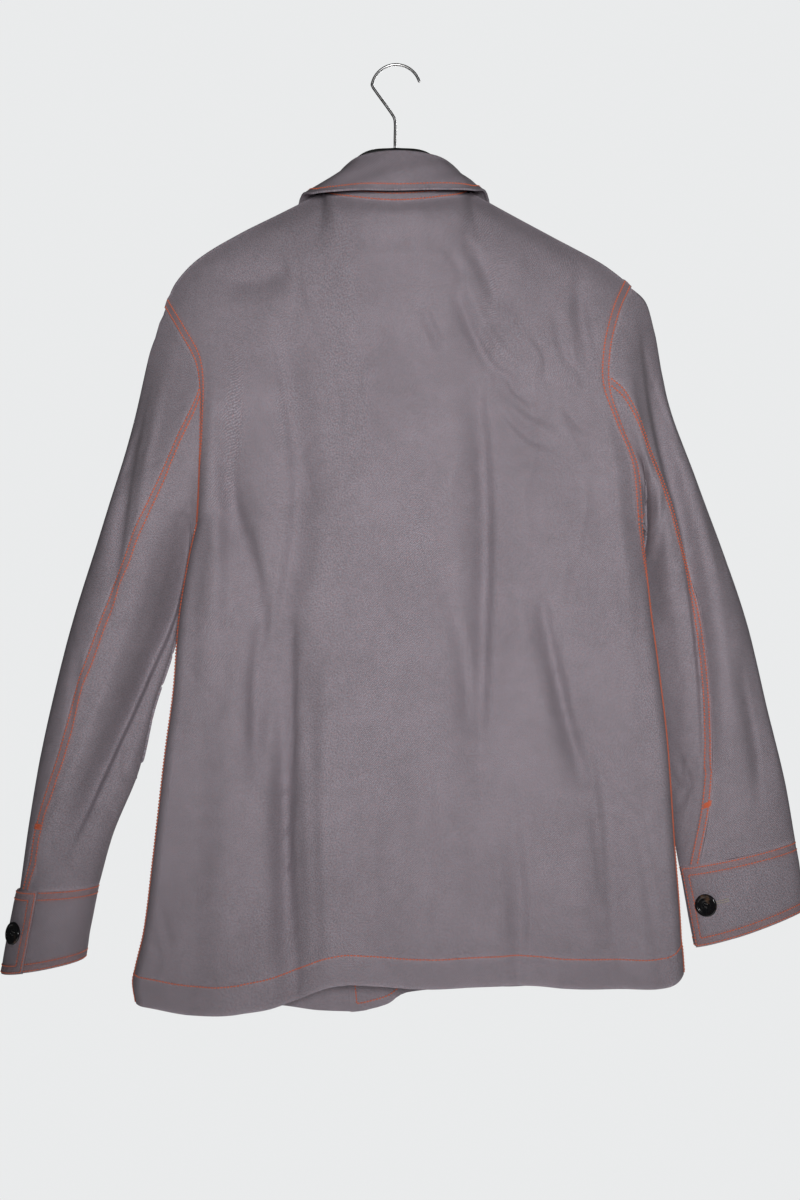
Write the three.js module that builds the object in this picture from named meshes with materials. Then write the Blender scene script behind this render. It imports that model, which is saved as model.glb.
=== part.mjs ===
// Chore jacket on a hanger, hanging from the inside top of its hook.
// Millimetres, +Z up, the jacket's back faces -Y, the wearer's right is +X.
import * as THREE from 'three';

// Driving sizes
const CLOTH = 2.0;          // single cloth wall
const HEM_CLOTH = 2.8;      // turned-up hem
const CUFF_CLOTH = 2.8;     // two layers of a cuff
const POCKET_CLOTH = 1.6;   // patch pocket
const SEAM_GAP = 0.3;       // clear space where two pieces meet
const LAY_GAP = 0.3;        // clear space under a piece that lies on another
const BACK_COLUMNS = 26;    // columns across the back, side seam to side seam
const SHOULDER_COLUMNS = 8; // columns along one shoulder seam
const SIDE_ROWS = 16;       // rows from the hem up to the armpit
const ARM_ROWS = 13;        // rows from the armpit up to the shoulder tip
const BODY_ROWS = SIDE_ROWS + ARM_ROWS;
const SLEEVE_ROWS = 22;     // rows from the armhole down to the cuff
const POCKET_ROWS = [2, 8];
const POCKET_COLUMNS = [1, 9];
const BUTTON_RADIUS = 11;
const BUTTON_HEIGHT = 3.4;
const WIRE_RADIUS = 1.35;
const CROOK_RADIUS = 23.5;
const CORNER_SHARE = 0.4;    // share of the fullness that the turned side of the body takes
const CORNER_WIDTH = 11;     // how far in from the side seam that turn ends
const CORNER_FADE_LEFT = [21.5, 25.5];  // grid rows over which that turn fades, behind on the left
const CORNER_FADE_RIGHT = [11, 17];     // and everywhere else
const BUTTON_LINE = 13;     // column of the fronts on which the buttons stand
const BUTTON_ROWS = [27, 22, 17, 12, 7];

// Table from rows of numbers under named columns
function table(names, ...rows) {
  const columns = names.split(' ');
  return rows.map((row) => Object.fromEntries(columns.map((name, i) => [name, row[i]])));
}

// Side seam of the body: share up from the hem to the armpit, place of both sides
const SIDE_SEAM = [
  { at: 0.00, leftX: -249, leftZ: -897, rightX: 275.5, rightZ: -868 },
  { at: 0.05, leftX: -251.5, leftZ: -875, rightX: 274, rightZ: -846 },
  { at: 0.14, leftX: -241.5, leftZ: -829, rightX: 271.5, rightZ: -806 },
  { at: 0.28, leftX: -233.5, leftZ: -765, rightX: 267, rightZ: -748 },
  { at: 0.50, leftX: -221.5, leftZ: -660, rightX: 260, rightZ: -648 },
  { at: 0.64, leftX: -213.5, leftZ: -600, rightX: 253, rightZ: -588 },
  { at: 0.80, leftX: -208, leftZ: -530, rightX: 244, rightZ: -520 },
  { at: 0.92, leftX: -199, leftZ: -475, rightX: 238.5, rightZ: -470 },
  { at: 1.00, leftX: -191, leftZ: -440, rightX: 236, rightZ: -440 },
];

// Armhole: share up from the armpit to the shoulder tip; depth is off the middle plane
const ARMHOLE = [
  { at: 0.00, leftX: -191, leftZ: -440, leftDepth: 0, rightX: 236, rightZ: -440, rightDepth: 0 },
  { at: 0.12, leftX: -188, leftZ: -416, leftDepth: 15, rightX: 234, rightZ: -415, rightDepth: 9 },
  { at: 0.25, leftX: -185.5, leftZ: -389, leftDepth: 27, rightX: 229.5, rightZ: -384, rightDepth: 17 },
  { at: 0.40, leftX: -184, leftZ: -357, leftDepth: 35, rightX: 214.5, rightZ: -350, rightDepth: 28 },
  { at: 0.56, leftX: -184, leftZ: -322, leftDepth: 37, rightX: 202, rightZ: -314, rightDepth: 39 },
  { at: 0.72, leftX: -189, leftZ: -290, leftDepth: 32, rightX: 203, rightZ: -276, rightDepth: 37 },
  { at: 0.86, leftX: -205, leftZ: -260, leftDepth: 20, rightX: 213, rightZ: -239, rightDepth: 22 },
  { at: 1.00, leftX: -222, leftZ: -232, leftDepth: 0, rightX: 226, rightZ: -212, rightDepth: 0 },
];

// How far the front armhole stands out from the back one, by the same share
const FRONT_ARMHOLE = [
  { at: 0.00, out: 0, depth: 0 },
  { at: 0.25, out: -3, depth: 20 },
  { at: 0.56, out: -5, depth: 30 },
  { at: 0.86, out: -2, depth: 18 },
  { at: 1.00, out: 0, depth: 0 },
];

// Shoulder seam from the tip to the side of the neck
const SHOULDER = [
  { at: 0.000, leftX: -222, leftZ: -232, rightX: 226, rightZ: -212 },
  { at: 0.125, leftX: -211.5, leftZ: -208, rightX: 212, rightZ: -200 },
  { at: 0.250, leftX: -191, leftZ: -186, rightX: 194, rightZ: -187.5 },
  { at: 0.500, leftX: -152, leftZ: -162, rightX: 152, rightZ: -165 },
  { at: 0.750, leftX: -112, leftZ: -142, rightX: 112, rightZ: -143.5 },
  { at: 1.000, leftX: -72, leftZ: -122, rightX: 72, rightZ: -121.5 },
];

// Neck seam behind, from the wearer's left to the right
const BACK_NECK = [
  { at: 0.0, x: -72, y: 0, z: -122 },
  { at: 0.2, x: -58, y: -30, z: -131 },
  { at: 0.5, x: 0, y: -50, z: -140 },
  { at: 0.8, x: 58, y: -30, z: -131 },
  { at: 1.0, x: 72, y: 0, z: -121.5 },
];

// Neck seam in front, from the wearer's left to the right, button line in the middle
const FRONT_NECK = [
  { at: 0.0, x: -72, y: 0, z: -122 },
  { at: 0.1, x: -69, y: 22, z: -136 },
  { at: 0.2, x: -59, y: 38, z: -156 },
  { at: 0.3, x: -43, y: 48, z: -179 },
  { at: 0.4, x: -22, y: 54, z: -197 },
  { at: 0.5, x: 0, y: 56, z: -203 },
  { at: 0.6, x: 22, y: 54, z: -197 },
  { at: 0.7, x: 43, y: 48, z: -179 },
  { at: 0.8, x: 59, y: 38, z: -156 },
  { at: 0.9, x: 69, y: 22, z: -136 },
  { at: 1.0, x: 72, y: 0, z: -121.5 },
];

// Bottom edge of the back
const BACK_HEM = [
  { x: -249, z: -897 },
  { x: -229, z: -899.5 },
  { x: -193, z: -904 },
  { x: -157, z: -903 },
  { x: -127, z: -898.5 },
  { x: -108, z: -894 },
  { x: -93, z: -889 },
  { x: -80, z: -883 },
  { x: -62, z: -875.5 },
  { x: -41, z: -873 },
  { x: 23, z: -876 },
  { x: 96, z: -874.5 },
  { x: 128, z: -875 },
  { x: 167, z: -878 },
  { x: 237, z: -880.5 },
  { x: 257, z: -879.5 },
  { x: 266, z: -876 },
  { x: 275.5, z: -868 },
];

// Bottom edge of the fronts
const FRONT_HEM = [
  { x: -249, z: -897 },
  { x: -180, z: -905 },
  { x: -111, z: -911 },
  { x: -45, z: -917.5 },
  { x: -10, z: -911 },
  { x: 10, z: -899 },
  { x: 90, z: -893 },
  { x: 200, z: -886 },
  { x: 275.5, z: -868 },
];

// Fullness of the body off the middle plane, by share up from the hem
const FULLNESS = [
  { at: 0.00, back: 50, front: 52 },
  { at: 0.30, back: 50, front: 52 },
  { at: 0.55, back: 49, front: 50 },
  { at: 0.65, back: 37, front: 42 },
  { at: 0.75, back: 21, front: 27 },
  { at: 0.85, back: 10, front: 13 },
  { at: 0.93, back: 11, front: 10 },
  { at: 0.97, back: 12, front: 12 },
  { at: 1.00, back: 0, front: 0 },
];

// Folds of the back: a trough (below 0) or ridge (above 0) from one point to the next
const BACK_FOLDS = [
  { path: [[-97, -535], [-101, -700], [-92, -915]], half: 34, depth: -15 },
  { path: [[-150, -560], [-158, -720], [-166, -930]], half: 30, depth: 7 },
  { path: [[-128, -520], [-133, -690]], half: 22, depth: -6 },
  { path: [[79, -290], [84, -430], [84, -560], [80, -700]], half: 38, depth: -10 },
  { path: [[135, -500], [165, -620], [180, -690]], half: 26, depth: -8 },
  { path: [[-165, -340], [-150, -450], [-124, -560]], half: 26, depth: -8 },
  { path: [[-112, -250], [-92, -400], [-110, -530], [-140, -670]], half: 34, depth: -6 },
  { path: [[-184, -200], [-140, -214], [-100, -208]], half: 22, depth: -7 },
  { path: [[72, -180], [98, -230], [70, -270]], half: 26, depth: -6 },
  { path: [[58, -220], [76, -280], [112, -318]], half: 22, depth: -5 },
  { path: [[184, -188], [178, -235], [184, -290], [196, -330]], half: 20, depth: -9 },
  { path: [[-168, -300], [-176, -470], [-188, -620]], half: 24, depth: 6 },
  { path: [[198, -320], [214, -430], [218, -560]], half: 26, depth: 6 },
  { path: [[20, -560], [40, -750], [30, -920]], half: 46, depth: 6 },
  { path: [[200, -700], [214, -920]], half: 34, depth: -7 },
  { path: [[120, -760], [128, -920]], half: 34, depth: -5 },
];

// Folds of the fronts
const FRONT_FOLDS = [
  { path: [[-110, -250], [-96, -400], [-110, -560]], half: 34, depth: -7 },
  { path: [[108, -240], [96, -400], [112, -580]], half: 34, depth: -7 },
  { path: [[-70, -600], [-84, -760], [-78, -930]], half: 32, depth: -9 },
  { path: [[92, -620], [110, -760], [118, -910]], half: 32, depth: -8 },
  { path: [[-150, -680], [-160, -920]], half: 34, depth: 6 },
  { path: [[190, -700], [200, -900]], half: 34, depth: 5 },
];

// Sleeves: outer and inner edge of each section, share down from the armhole to the cuff.
// Middle is the section's place fore and aft, back and front its depth each way;
// elbow and forearm are the seams' angles from the outer edge, behind and in front.
const LEFT_SLEEVE = table(
  'at outX outZ inX inZ mid back front elbow forearm',
  [0.00, -222, -232, -192.5, -441, 0, 38, 38, 69.231, 110.769],
  [0.10, -237, -274, -198, -455, 6, 42, 42, 76, 112],
  [0.22, -256.5, -348, -199.5, -482, 20, 48, 48, 78, 114],
  [0.36, -285.5, -443, -208, -522, 25, 54, 52, 74, 116],
  [0.50, -311.5, -526, -219.5, -568, 24, 54, 52, 67, 118],
  [0.64, -329, -594, -236, -619, 22, 50, 48, 61, 120],
  [0.78, -344, -663, -250, -680, 19, 44, 42, 55, 122],
  [0.90, -355, -730, -273.5, -738, 16, 38, 36, 41, 122],
  [1.00, -363, -791, -287, -787, 13, 34, 32, 32, 120],
);
const RIGHT_SLEEVE = table(
  'at outX outZ inX inZ mid back front elbow forearm',
  [0.00, 226, -212, 238, -441, 0, 38, 38, 69.231, 110.769],
  [0.05, 241, -226, 241, -446, 4, 40, 41, 70, 111],
  [0.11, 249.5, -254, 244, -453, 9, 42, 44, 72, 112],
  [0.22, 264.5, -322, 240.5, -474, 20, 46, 50, 79, 114],
  [0.36, 292, -397, 241, -520, 27, 52, 52, 82, 116],
  [0.50, 319, -469, 247, -575, 29, 54, 52, 80, 118],
  [0.64, 341.5, -537, 257.5, -635, 27, 50, 48, 90, 120],
  [0.78, 361, -620, 263, -692, 25, 42, 40, 101, 122],
  [0.90, 377, -687, 268.5, -735, 22, 34, 30, 116, 124],
  [1.00, 387, -745.5, 274.5, -770.5, 20, 26, 22, 134, 126],
);
const LEFT_CUFF = { outX: -378, outZ: -871, inX: -300, inZ: -858, mid: 12, back: 36, front: 34, tab: 68 };
const RIGHT_CUFF = { outX: 397.5, outZ: -811.5, inX: 289, inZ: -848, mid: 20, back: 27, front: 22, tab: 160 };

// Folds of the sleeves, seen on the half that faces back or front
const LEFT_SLEEVE_FOLDS = [
  {
    path: [[-200, -430], [-219, -513], [-254, -608], [-286, -680], [-322, -770]],
    half: 26,
    depth: -19,
  },
  { path: [[-250, -330], [-262, -420], [-268, -500]], half: 18, depth: -6 },
];
const RIGHT_SLEEVE_FOLDS = [
  {
    path: [[236, -240], [243, -320], [258, -371], [276, -446], [287, -518], [296, -597], [298, -677]],
    half: 24,
    depth: -15,
  },
  { path: [[252, -470], [270, -560], [278, -640]], half: 34, depth: -9 },
  { path: [[240, -400], [243, -470], [248, -540]], half: 16, depth: -8 },
  { path: [[330, -560], [350, -660], [352, -720]], half: 22, depth: -6 },
];

// Collar sections by share of the neck seam, from the wearer's left front end to the right one.
// Fold is the top of the stand, edge the lower edge of the fall.
const COLLAR = [
  { at: 0.00, foldX: -7, foldY: 68, foldZ: -184, edgeX: -46, edgeY: 79, edgeZ: -246 },
  { at: 0.10, foldX: -40, foldY: 58, foldZ: -160, edgeX: -84, edgeY: 69, edgeZ: -213 },
  { at: 0.20, foldX: -62, foldY: 30, foldZ: -124, edgeX: -99, edgeY: 43, edgeZ: -164 },
  { at: 0.25, foldX: -58, foldY: 4, foldZ: -110, edgeX: -92, edgeY: 2, edgeZ: -130 },
  { at: 0.32, foldX: -42, foldY: -28, foldZ: -99.5, edgeX: -76, edgeY: -44, edgeZ: -132 },
  { at: 0.40, foldX: -26, foldY: -40, foldZ: -95, edgeX: -42, edgeY: -62, edgeZ: -133 },
  { at: 0.50, foldX: 0, foldY: -45, foldZ: -93, edgeX: 0, edgeY: -68, edgeZ: -133.5 },
  { at: 0.60, foldX: 28, foldY: -40, foldZ: -94.5, edgeX: 42, edgeY: -62, edgeZ: -132 },
  { at: 0.68, foldX: 48, foldY: -27, foldZ: -99, edgeX: 73, edgeY: -44, edgeZ: -129 },
  { at: 0.75, foldX: 65, foldY: 4, foldZ: -111, edgeX: 88, edgeY: 2, edgeZ: -127 },
  { at: 0.80, foldX: 63, foldY: 30, foldZ: -125, edgeX: 97, edgeY: 43, edgeZ: -163 },
  { at: 0.90, foldX: 40, foldY: 58, foldZ: -160, edgeX: 84, edgeY: 69, edgeZ: -213 },
  { at: 1.00, foldX: 7, foldY: 68, foldZ: -184, edgeX: 46, edgeY: 79, edgeZ: -246 },
];

// Middle line of the hanger's left and right arm, outside the neck it follows the shoulders
const HANGER_NECK = [
  { x: 0, z: -83 },
  { x: 25, z: -85.5 },
  { x: 39, z: -96 },
  { x: 44.5, z: -114.5 },
  { x: 54, z: -130 },
];
const HANGER_DROP = 12.0;
const HANGER_END = 197;

// Hook wire: corner points below the crook
const HOOK_SHANK = [
  { x: -23.2, z: -18 },
  { x: -21.5, z: -21.5 },
  { x: -3, z: -47.5 },
  { x: -1, z: -53 },
  { x: -1, z: -72 },
];
const CROOK_START = 18;     // degrees above level where the wire's tip ends

// Value of a named column at a share along a table, smooth between the rows
function read(rows, column, at, key = 'at') {
  const last = rows.length - 1;
  let k = 0;
  while (k < last - 1 && at > rows[k + 1][key]) k += 1;
  const slope = (i) => {
    const a = rows[Math.max(i - 1, 0)];
    const b = rows[Math.min(i + 1, last)];
    return (b[column] - a[column]) / (b[key] - a[key]);
  };
  const step = rows[k + 1][key] - rows[k][key];
  const u = THREE.MathUtils.clamp((at - rows[k][key]) / step, 0, 1);
  const u2 = u * u;
  const u3 = u2 * u;
  return (2 * u3 - 3 * u2 + 1) * rows[k][column] + (u3 - 2 * u2 + u) * step * slope(k)
    + (3 * u2 - 2 * u3) * rows[k + 1][column] + (u3 - u2) * step * slope(k + 1);
}

const mix = (a, b, share) => a + (b - a) * share;

// Depth of a set of folds at a point seen from the back, soft across and at both ends
function foldAt(folds, x, z) {
  let depth = 0;
  for (const fold of folds) {
    const path = fold.path;
    let total = 0;
    for (let i = 1; i < path.length; i += 1) {
      total += Math.hypot(path[i][0] - path[i - 1][0], path[i][1] - path[i - 1][1]);
    }
    let nearest = Infinity;
    let share = 0;
    let run = 0;
    for (let i = 1; i < path.length; i += 1) {
      const dx = path[i][0] - path[i - 1][0];
      const dz = path[i][1] - path[i - 1][1];
      const length = Math.hypot(dx, dz);
      const along = ((x - path[i - 1][0]) * dx + (z - path[i - 1][1]) * dz) / length ** 2;
      const t = THREE.MathUtils.clamp(along, 0, 1);
      const away = Math.hypot(x - path[i - 1][0] - t * dx, z - path[i - 1][1] - t * dz);
      if (away < nearest) {
        nearest = away;
        share = (run + t * length) / total;
      }
      run += length;
    }
    if (nearest < fold.half) {
      const across = 0.5 + 0.5 * Math.cos((Math.PI * nearest) / fold.half);
      depth += fold.depth * across * Math.sqrt(Math.max(Math.sin(Math.PI * share), 0));
    }
  }
  return depth;
}

// Armhole point: face is -1 behind and 1 in front, at is the share up from the armpit
function armholePoint(side, face, at) {
  const left = side < 0;
  const x = read(ARMHOLE, left ? 'leftX' : 'rightX', at);
  const z = read(ARMHOLE, left ? 'leftZ' : 'rightZ', at);
  if (face < 0) {
    const depth = read(ARMHOLE, left ? 'leftDepth' : 'rightDepth', at);
    return new THREE.Vector3(x, -depth, z);
  }
  const out = read(FRONT_ARMHOLE, 'out', at);
  return new THREE.Vector3(x + side * out, read(FRONT_ARMHOLE, 'depth', at), z);
}

// Side edge of the body at a row: the side seam, then the armhole
function sideEdge(side, face, row) {
  if (row > SIDE_ROWS) return armholePoint(side, face, (row - SIDE_ROWS) / ARM_ROWS);
  const at = row / SIDE_ROWS;
  const left = side < 0;
  const x = read(SIDE_SEAM, left ? 'leftX' : 'rightX', at);
  return new THREE.Vector3(x, 0, read(SIDE_SEAM, left ? 'leftZ' : 'rightZ', at));
}

function shoulderPoint(side, at) {
  const left = side < 0;
  const x = read(SHOULDER, left ? 'leftX' : 'rightX', at);
  return new THREE.Vector3(x, 0, read(SHOULDER, left ? 'leftZ' : 'rightZ', at));
}

// Top edge of the body at a column: shoulder, neck, shoulder
function topEdge(face, column) {
  const neckColumns = BACK_COLUMNS - 2 * SHOULDER_COLUMNS;
  if (column <= SHOULDER_COLUMNS) return shoulderPoint(-1, column / SHOULDER_COLUMNS);
  if (column >= BACK_COLUMNS - SHOULDER_COLUMNS) {
    return shoulderPoint(1, (BACK_COLUMNS - column) / SHOULDER_COLUMNS);
  }
  const rows = face < 0 ? BACK_NECK : FRONT_NECK;
  const at = (column - SHOULDER_COLUMNS) / neckColumns;
  return new THREE.Vector3(read(rows, 'x', at), read(rows, 'y', at), read(rows, 'z', at));
}

// Share of the width at a column of the back: closer together toward the sides
function backShare(column) {
  const s = column / BACK_COLUMNS;
  return mix(s, (1 - Math.cos(Math.PI * s)) / 2, 0.45);
}

// Share of the width at a column of the fronts, with the lap of the front edges in the middle
function frontShare(column) {
  const left = 0.389;
  const middle = 0.432;
  const right = 0.475;
  const spread = (u) => mix(u, 1 - Math.cos((Math.PI * u) / 2), 0.55);
  if (column < 13) return column <= 12 ? left * spread(column / 12) : mix(left, middle, column - 12);
  if (column < 14) return mix(middle, right, column - 13);
  return 1 - (1 - right) * spread((26 - column) / 12);
}

// Point of the body's outer surface at a column and row; face is -1 behind and 1 in front
function bodyPoint(face, column, row) {
  const share = face < 0 ? backShare(column) : frontShare(column);
  const t = row / BODY_ROWS;
  const left = sideEdge(-1, face, row);
  const right = sideEdge(1, face, row);
  const point = left.clone().lerp(right, share);
  const low = (1 - t) ** 3;
  const bottomLeft = sideEdge(-1, face, 0);
  const bottomRight = sideEdge(1, face, 0);
  const hemX = mix(bottomLeft.x, bottomRight.x, share);
  const hemZ = read(face < 0 ? BACK_HEM : FRONT_HEM, 'z', hemX, 'x');
  const hem = hemZ - mix(bottomLeft.z, bottomRight.z, share);
  const top = topEdge(face, column);
  const flat = topEdge(face, 0).lerp(topEdge(face, BACK_COLUMNS), share);
  const high = t * t;
  top.sub(flat);
  point.x += high * top.x;
  point.y += high ** 3 * top.y;
  point.z += high * top.z + low * hem;
  const inside = Math.min(share, 1 - share) * (right.x - left.x);
  const even = THREE.MathUtils.smoothstep(inside, 0, 90) * (1 - THREE.MathUtils.smoothstep(row, 20, 27));
  const ownDepth = mix(left.y, right.y, share);
  [-4, -2, 2, 4].forEach((shift) => {
    const near = THREE.MathUtils.clamp(row + shift, 0, BODY_ROWS);
    const depth = mix(sideEdge(-1, face, near).y, sideEdge(1, face, near).y, share);
    point.y += (even / 5) * (depth - ownDepth);
  });
  const fade = share < 0.5 && face < 0 ? CORNER_FADE_LEFT : CORNER_FADE_RIGHT;
  const corner = CORNER_SHARE * (1 - THREE.MathUtils.smoothstep(row, fade[0], fade[1]));
  const quarter = Math.sqrt(1 - (1 - Math.min(inside / CORNER_WIDTH, 1)) ** 2);
  const rounding = mix(Math.sin(Math.PI * share) ** 0.62, quarter, corner);
  const fullness = read(FULLNESS, face < 0 ? 'back' : 'front', t) * rounding;
  const calm = Math.min(1, 8 * (1 - t)) * Math.min(1, share * 14) * Math.min(1, (1 - share) * 14);
  const fold = foldAt(face < 0 ? BACK_FOLDS : FRONT_FOLDS, point.x, point.z) * calm;
  point.y += face * (fullness + fold);
  return point;
}

// Point of a sleeve's outer surface at a share down its length and an angle from its outer edge
function sleevePoint(side, at, angle) {
  const rows = side < 0 ? LEFT_SLEEVE : RIGHT_SLEEVE;
  const section = (v) => {
    const c = Math.cos(angle);
    const s = Math.sin(angle);
    const x = mix(read(rows, 'inX', v), read(rows, 'outX', v), (1 + c) / 2);
    const z = mix(read(rows, 'inZ', v), read(rows, 'outZ', v), (1 + c) / 2);
    return new THREE.Vector3(x, read(rows, 'mid', v) - s * read(rows, s > 0 ? 'back' : 'front', v), z);
  };
  const point = section(at);
  const turn = (angle / (2 * Math.PI)) - Math.floor(angle / (2 * Math.PI) + 1e-9);
  const start = armholePoint(side, turn <= 0.5 ? -1 : 1, Math.abs(1 - 2 * turn)).sub(section(0));
  const fade = THREE.MathUtils.smoothstep(at, 0, 0.32);
  point.addScaledVector(start, 1 - fade);
  const folds = side < 0 ? LEFT_SLEEVE_FOLDS : RIGHT_SLEEVE_FOLDS;
  const back = Math.sin(angle);
  const ends = Math.min(1, at * 6) * Math.min(1, (1 - at) * 7);
  const calm = ends * Math.min(1, Math.max(back, -back * 0.5) * 2);
  point.y -= Math.sign(back) * foldAt(folds, point.x, point.z) * calm;
  return point;
}

// Grid of points with their outward directions; sign turns the outward side
function makeGrid(columns, rows, pointAt, sign) {
  const grid = { columns, rows, points: [], normals: [], sign };
  for (let j = 0; j <= rows; j += 1) {
    for (let i = 0; i <= columns; i += 1) grid.points.push(pointAt(i, j));
  }
  const at = (i, j) => {
    const row = THREE.MathUtils.clamp(j, 0, rows);
    const column = THREE.MathUtils.clamp(i, 0, columns);
    return grid.points[row * (columns + 1) + column];
  };
  for (let j = 0; j <= rows; j += 1) {
    for (let i = 0; i <= columns; i += 1) {
      const across = at(i + 1, j).clone().sub(at(i - 1, j));
      const up = at(i, j + 1).clone().sub(at(i, j - 1));
      grid.normals.push(across.cross(up).normalize().multiplyScalar(sign));
    }
  }
  grid.index = (i, j) => j * (columns + 1) + i;
  return grid;
}

// Indices of a run of one edge, from one end to the other
function edge(grid, side, from, to) {
  const list = [];
  const step = to >= from ? 1 : -1;
  for (let k = from; k !== to + step; k += step) {
    if (side === 'left') list.push([0, k]);
    if (side === 'right') list.push([grid.columns, k]);
    if (side === 'bottom') list.push([k, 0]);
    if (side === 'top') list.push([k, grid.rows]);
  }
  return list.map(([i, j]) => ({ grid, i, j, n: grid.index(i, j) }));
}

// Two edges that are sewn together get one common outward direction, point by point
function join(a, b, weight = () => 1) {
  a.forEach((p, k) => {
    const q = b[k];
    const na = p.grid.normals[p.n];
    const nb = q.grid.normals[q.n];
    const common = na.clone().add(nb).normalize();
    const w = weight(k / (a.length - 1));
    na.lerp(common, w).normalize();
    nb.lerp(common, w).normalize();
  });
}

// Corners where several pieces meet get one common direction
function meet(...corners) {
  const common = new THREE.Vector3();
  corners.forEach(([grid, i, j]) => common.add(grid.normals[grid.index(i, j)]));
  common.normalize();
  corners.forEach(([grid, i, j]) => grid.normals[grid.index(i, j)].copy(common));
}

// Pull an edge back into its own piece by half the seam gap
function trim(list, inward, gap = SEAM_GAP / 2) {
  const moves = list.map(({ grid, i, j, n }, k) => {
    const next = grid.points[grid.index(i + inward[0], j + inward[1])];
    const before = grid.points[list[Math.max(k - 1, 0)].n];
    const after = grid.points[list[Math.min(k + 1, list.length - 1)].n];
    const along = after.clone().sub(before).normalize();
    const move = next.clone().sub(grid.points[n]);
    return move.addScaledVector(along, -move.dot(along)).setLength(gap);
  });
  list.forEach(({ grid, n }, k) => grid.points[n].add(moves[k]));
}

// Closed wall from a grid: outer skin, inner skin a thickness behind it, and the four rims
function wall(grid, thickness) {
  const { columns, rows } = grid;
  const count = grid.points.length;
  const positions = new Float32Array(count * 6);
  grid.points.forEach((p, n) => {
    p.toArray(positions, n * 3);
    const row = Math.floor(n / (columns + 1));
    const inner = p.clone().addScaledVector(grid.normals[n], -thickness(row));
    inner.toArray(positions, (count + n) * 3);
  });
  const faces = [];
  const quad = (a, b, c, d) => {
    if (grid.sign > 0) faces.push(a, b, c, a, c, d);
    else faces.push(a, c, b, a, d, c);
  };
  for (let j = 0; j < rows; j += 1) {
    for (let i = 0; i < columns; i += 1) {
      const a = grid.index(i, j);
      const b = grid.index(i + 1, j);
      const c = grid.index(i + 1, j + 1);
      const d = grid.index(i, j + 1);
      quad(a, b, c, d);
      quad(count + a, count + d, count + c, count + b);
    }
  }
  const rim = [];
  for (let i = 0; i < columns; i += 1) rim.push(grid.index(i, 0));
  for (let j = 0; j < rows; j += 1) rim.push(grid.index(columns, j));
  for (let i = columns; i > 0; i -= 1) rim.push(grid.index(i, rows));
  for (let j = rows; j > 0; j -= 1) rim.push(grid.index(0, j));
  const rank = (n) => grid.points[n].z + 0.37 * grid.points[n].x + 0.21 * grid.points[n].y;
  rim.forEach((a, k) => {
    const b = rim[(k + 1) % rim.length];
    if (rank(a) < rank(b)) quad(a, count + a, count + b, b);
    else quad(b, a, count + a, count + b);
  });
  return toGeometry(positions, faces);
}

function toGeometry(positions, faces) {
  const geometry = new THREE.BufferGeometry();
  geometry.setAttribute('position', new THREE.BufferAttribute(positions, 3));
  geometry.setIndex(faces);
  geometry.computeVertexNormals();
  return geometry;
}

// Round or oval rod along a curve that lies in the plane y = 0
function rod(line, deep, across, steps) {
  const shape = new THREE.Shape();
  shape.absellipse(0, 0, deep, across, 0, 2 * Math.PI, false);
  const extrudePath = new THREE.CatmullRomCurve3(line);
  return new THREE.ExtrudeGeometry(shape, { steps, curveSegments: 5, bevelEnabled: false, extrudePath });
}

// Button turned about its own axis, its back on a point and its face along a direction
function button(point, normal) {
  const profile = [
    [0, 0],
    [BUTTON_RADIUS - 1.4, 0],
    [BUTTON_RADIUS, 1.2],
    [BUTTON_RADIUS - 0.4, BUTTON_HEIGHT - 0.4],
    [BUTTON_RADIUS - 1.6, BUTTON_HEIGHT],
    [BUTTON_RADIUS - 3.4, BUTTON_HEIGHT - 1.1],
    [0, BUTTON_HEIGHT - 1.1],
  ];
  const geometry = new THREE.LatheGeometry(profile.map(([r, h]) => new THREE.Vector2(r, h)), 16);
  geometry.applyQuaternion(new THREE.Quaternion().setFromUnitVectors(new THREE.Vector3(0, 1, 0), normal));
  return geometry.translate(point.x, point.y, point.z);
}

// Body panels
const back = makeGrid(BACK_COLUMNS, BODY_ROWS, (i, j) => bodyPoint(-1, i, j), 1);
const frontLeft = makeGrid(14, BODY_ROWS, (i, j) => bodyPoint(1, i, j), -1);
const UNDERLAP = CLOTH + LAY_GAP + 0.15;
const frontRight = makeGrid(14, BODY_ROWS, (i, j) => bodyPoint(1, i + 12, j), -1);
const underlap = [1, 1, 1, 0.62, 0.25];
underlap.forEach((share, i) => {
  for (let j = 0; j <= BODY_ROWS; j += 1) {
    const n = frontRight.index(i, j);
    const hem = j < 2 ? HEM_CLOTH - CLOTH : 0;
    const out = frontLeft.normals[frontLeft.index(Math.min(12 + i, 14), j)];
    frontRight.points[n].addScaledVector(out, -(UNDERLAP + hem) * share);
  }
});

// Sleeve pieces: the under piece runs from the elbow seam round the inner edge to the forearm seam
const sleeveGrid = (side, upper) => {
  const rows = side < 0 ? LEFT_SLEEVE : RIGHT_SLEEVE;
  return makeGrid(13, SLEEVE_ROWS, (i, j) => {
    const at = 1 - j / SLEEVE_ROWS;
    const elbow = THREE.MathUtils.degToRad(read(rows, 'elbow', at));
    const forearm = 2 * Math.PI - THREE.MathUtils.degToRad(read(rows, 'forearm', at));
    const first = upper ? forearm : elbow;
    const last = upper ? elbow + 2 * Math.PI : forearm;
    return sleevePoint(side, at, mix(first, last, i / 13));
  }, side < 0 ? 1 : -1);
};
const sleeves = [-1, 1].map((side) => {
  const under = sleeveGrid(side, false);
  return { side, under, upper: sleeveGrid(side, true) };
});

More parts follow.
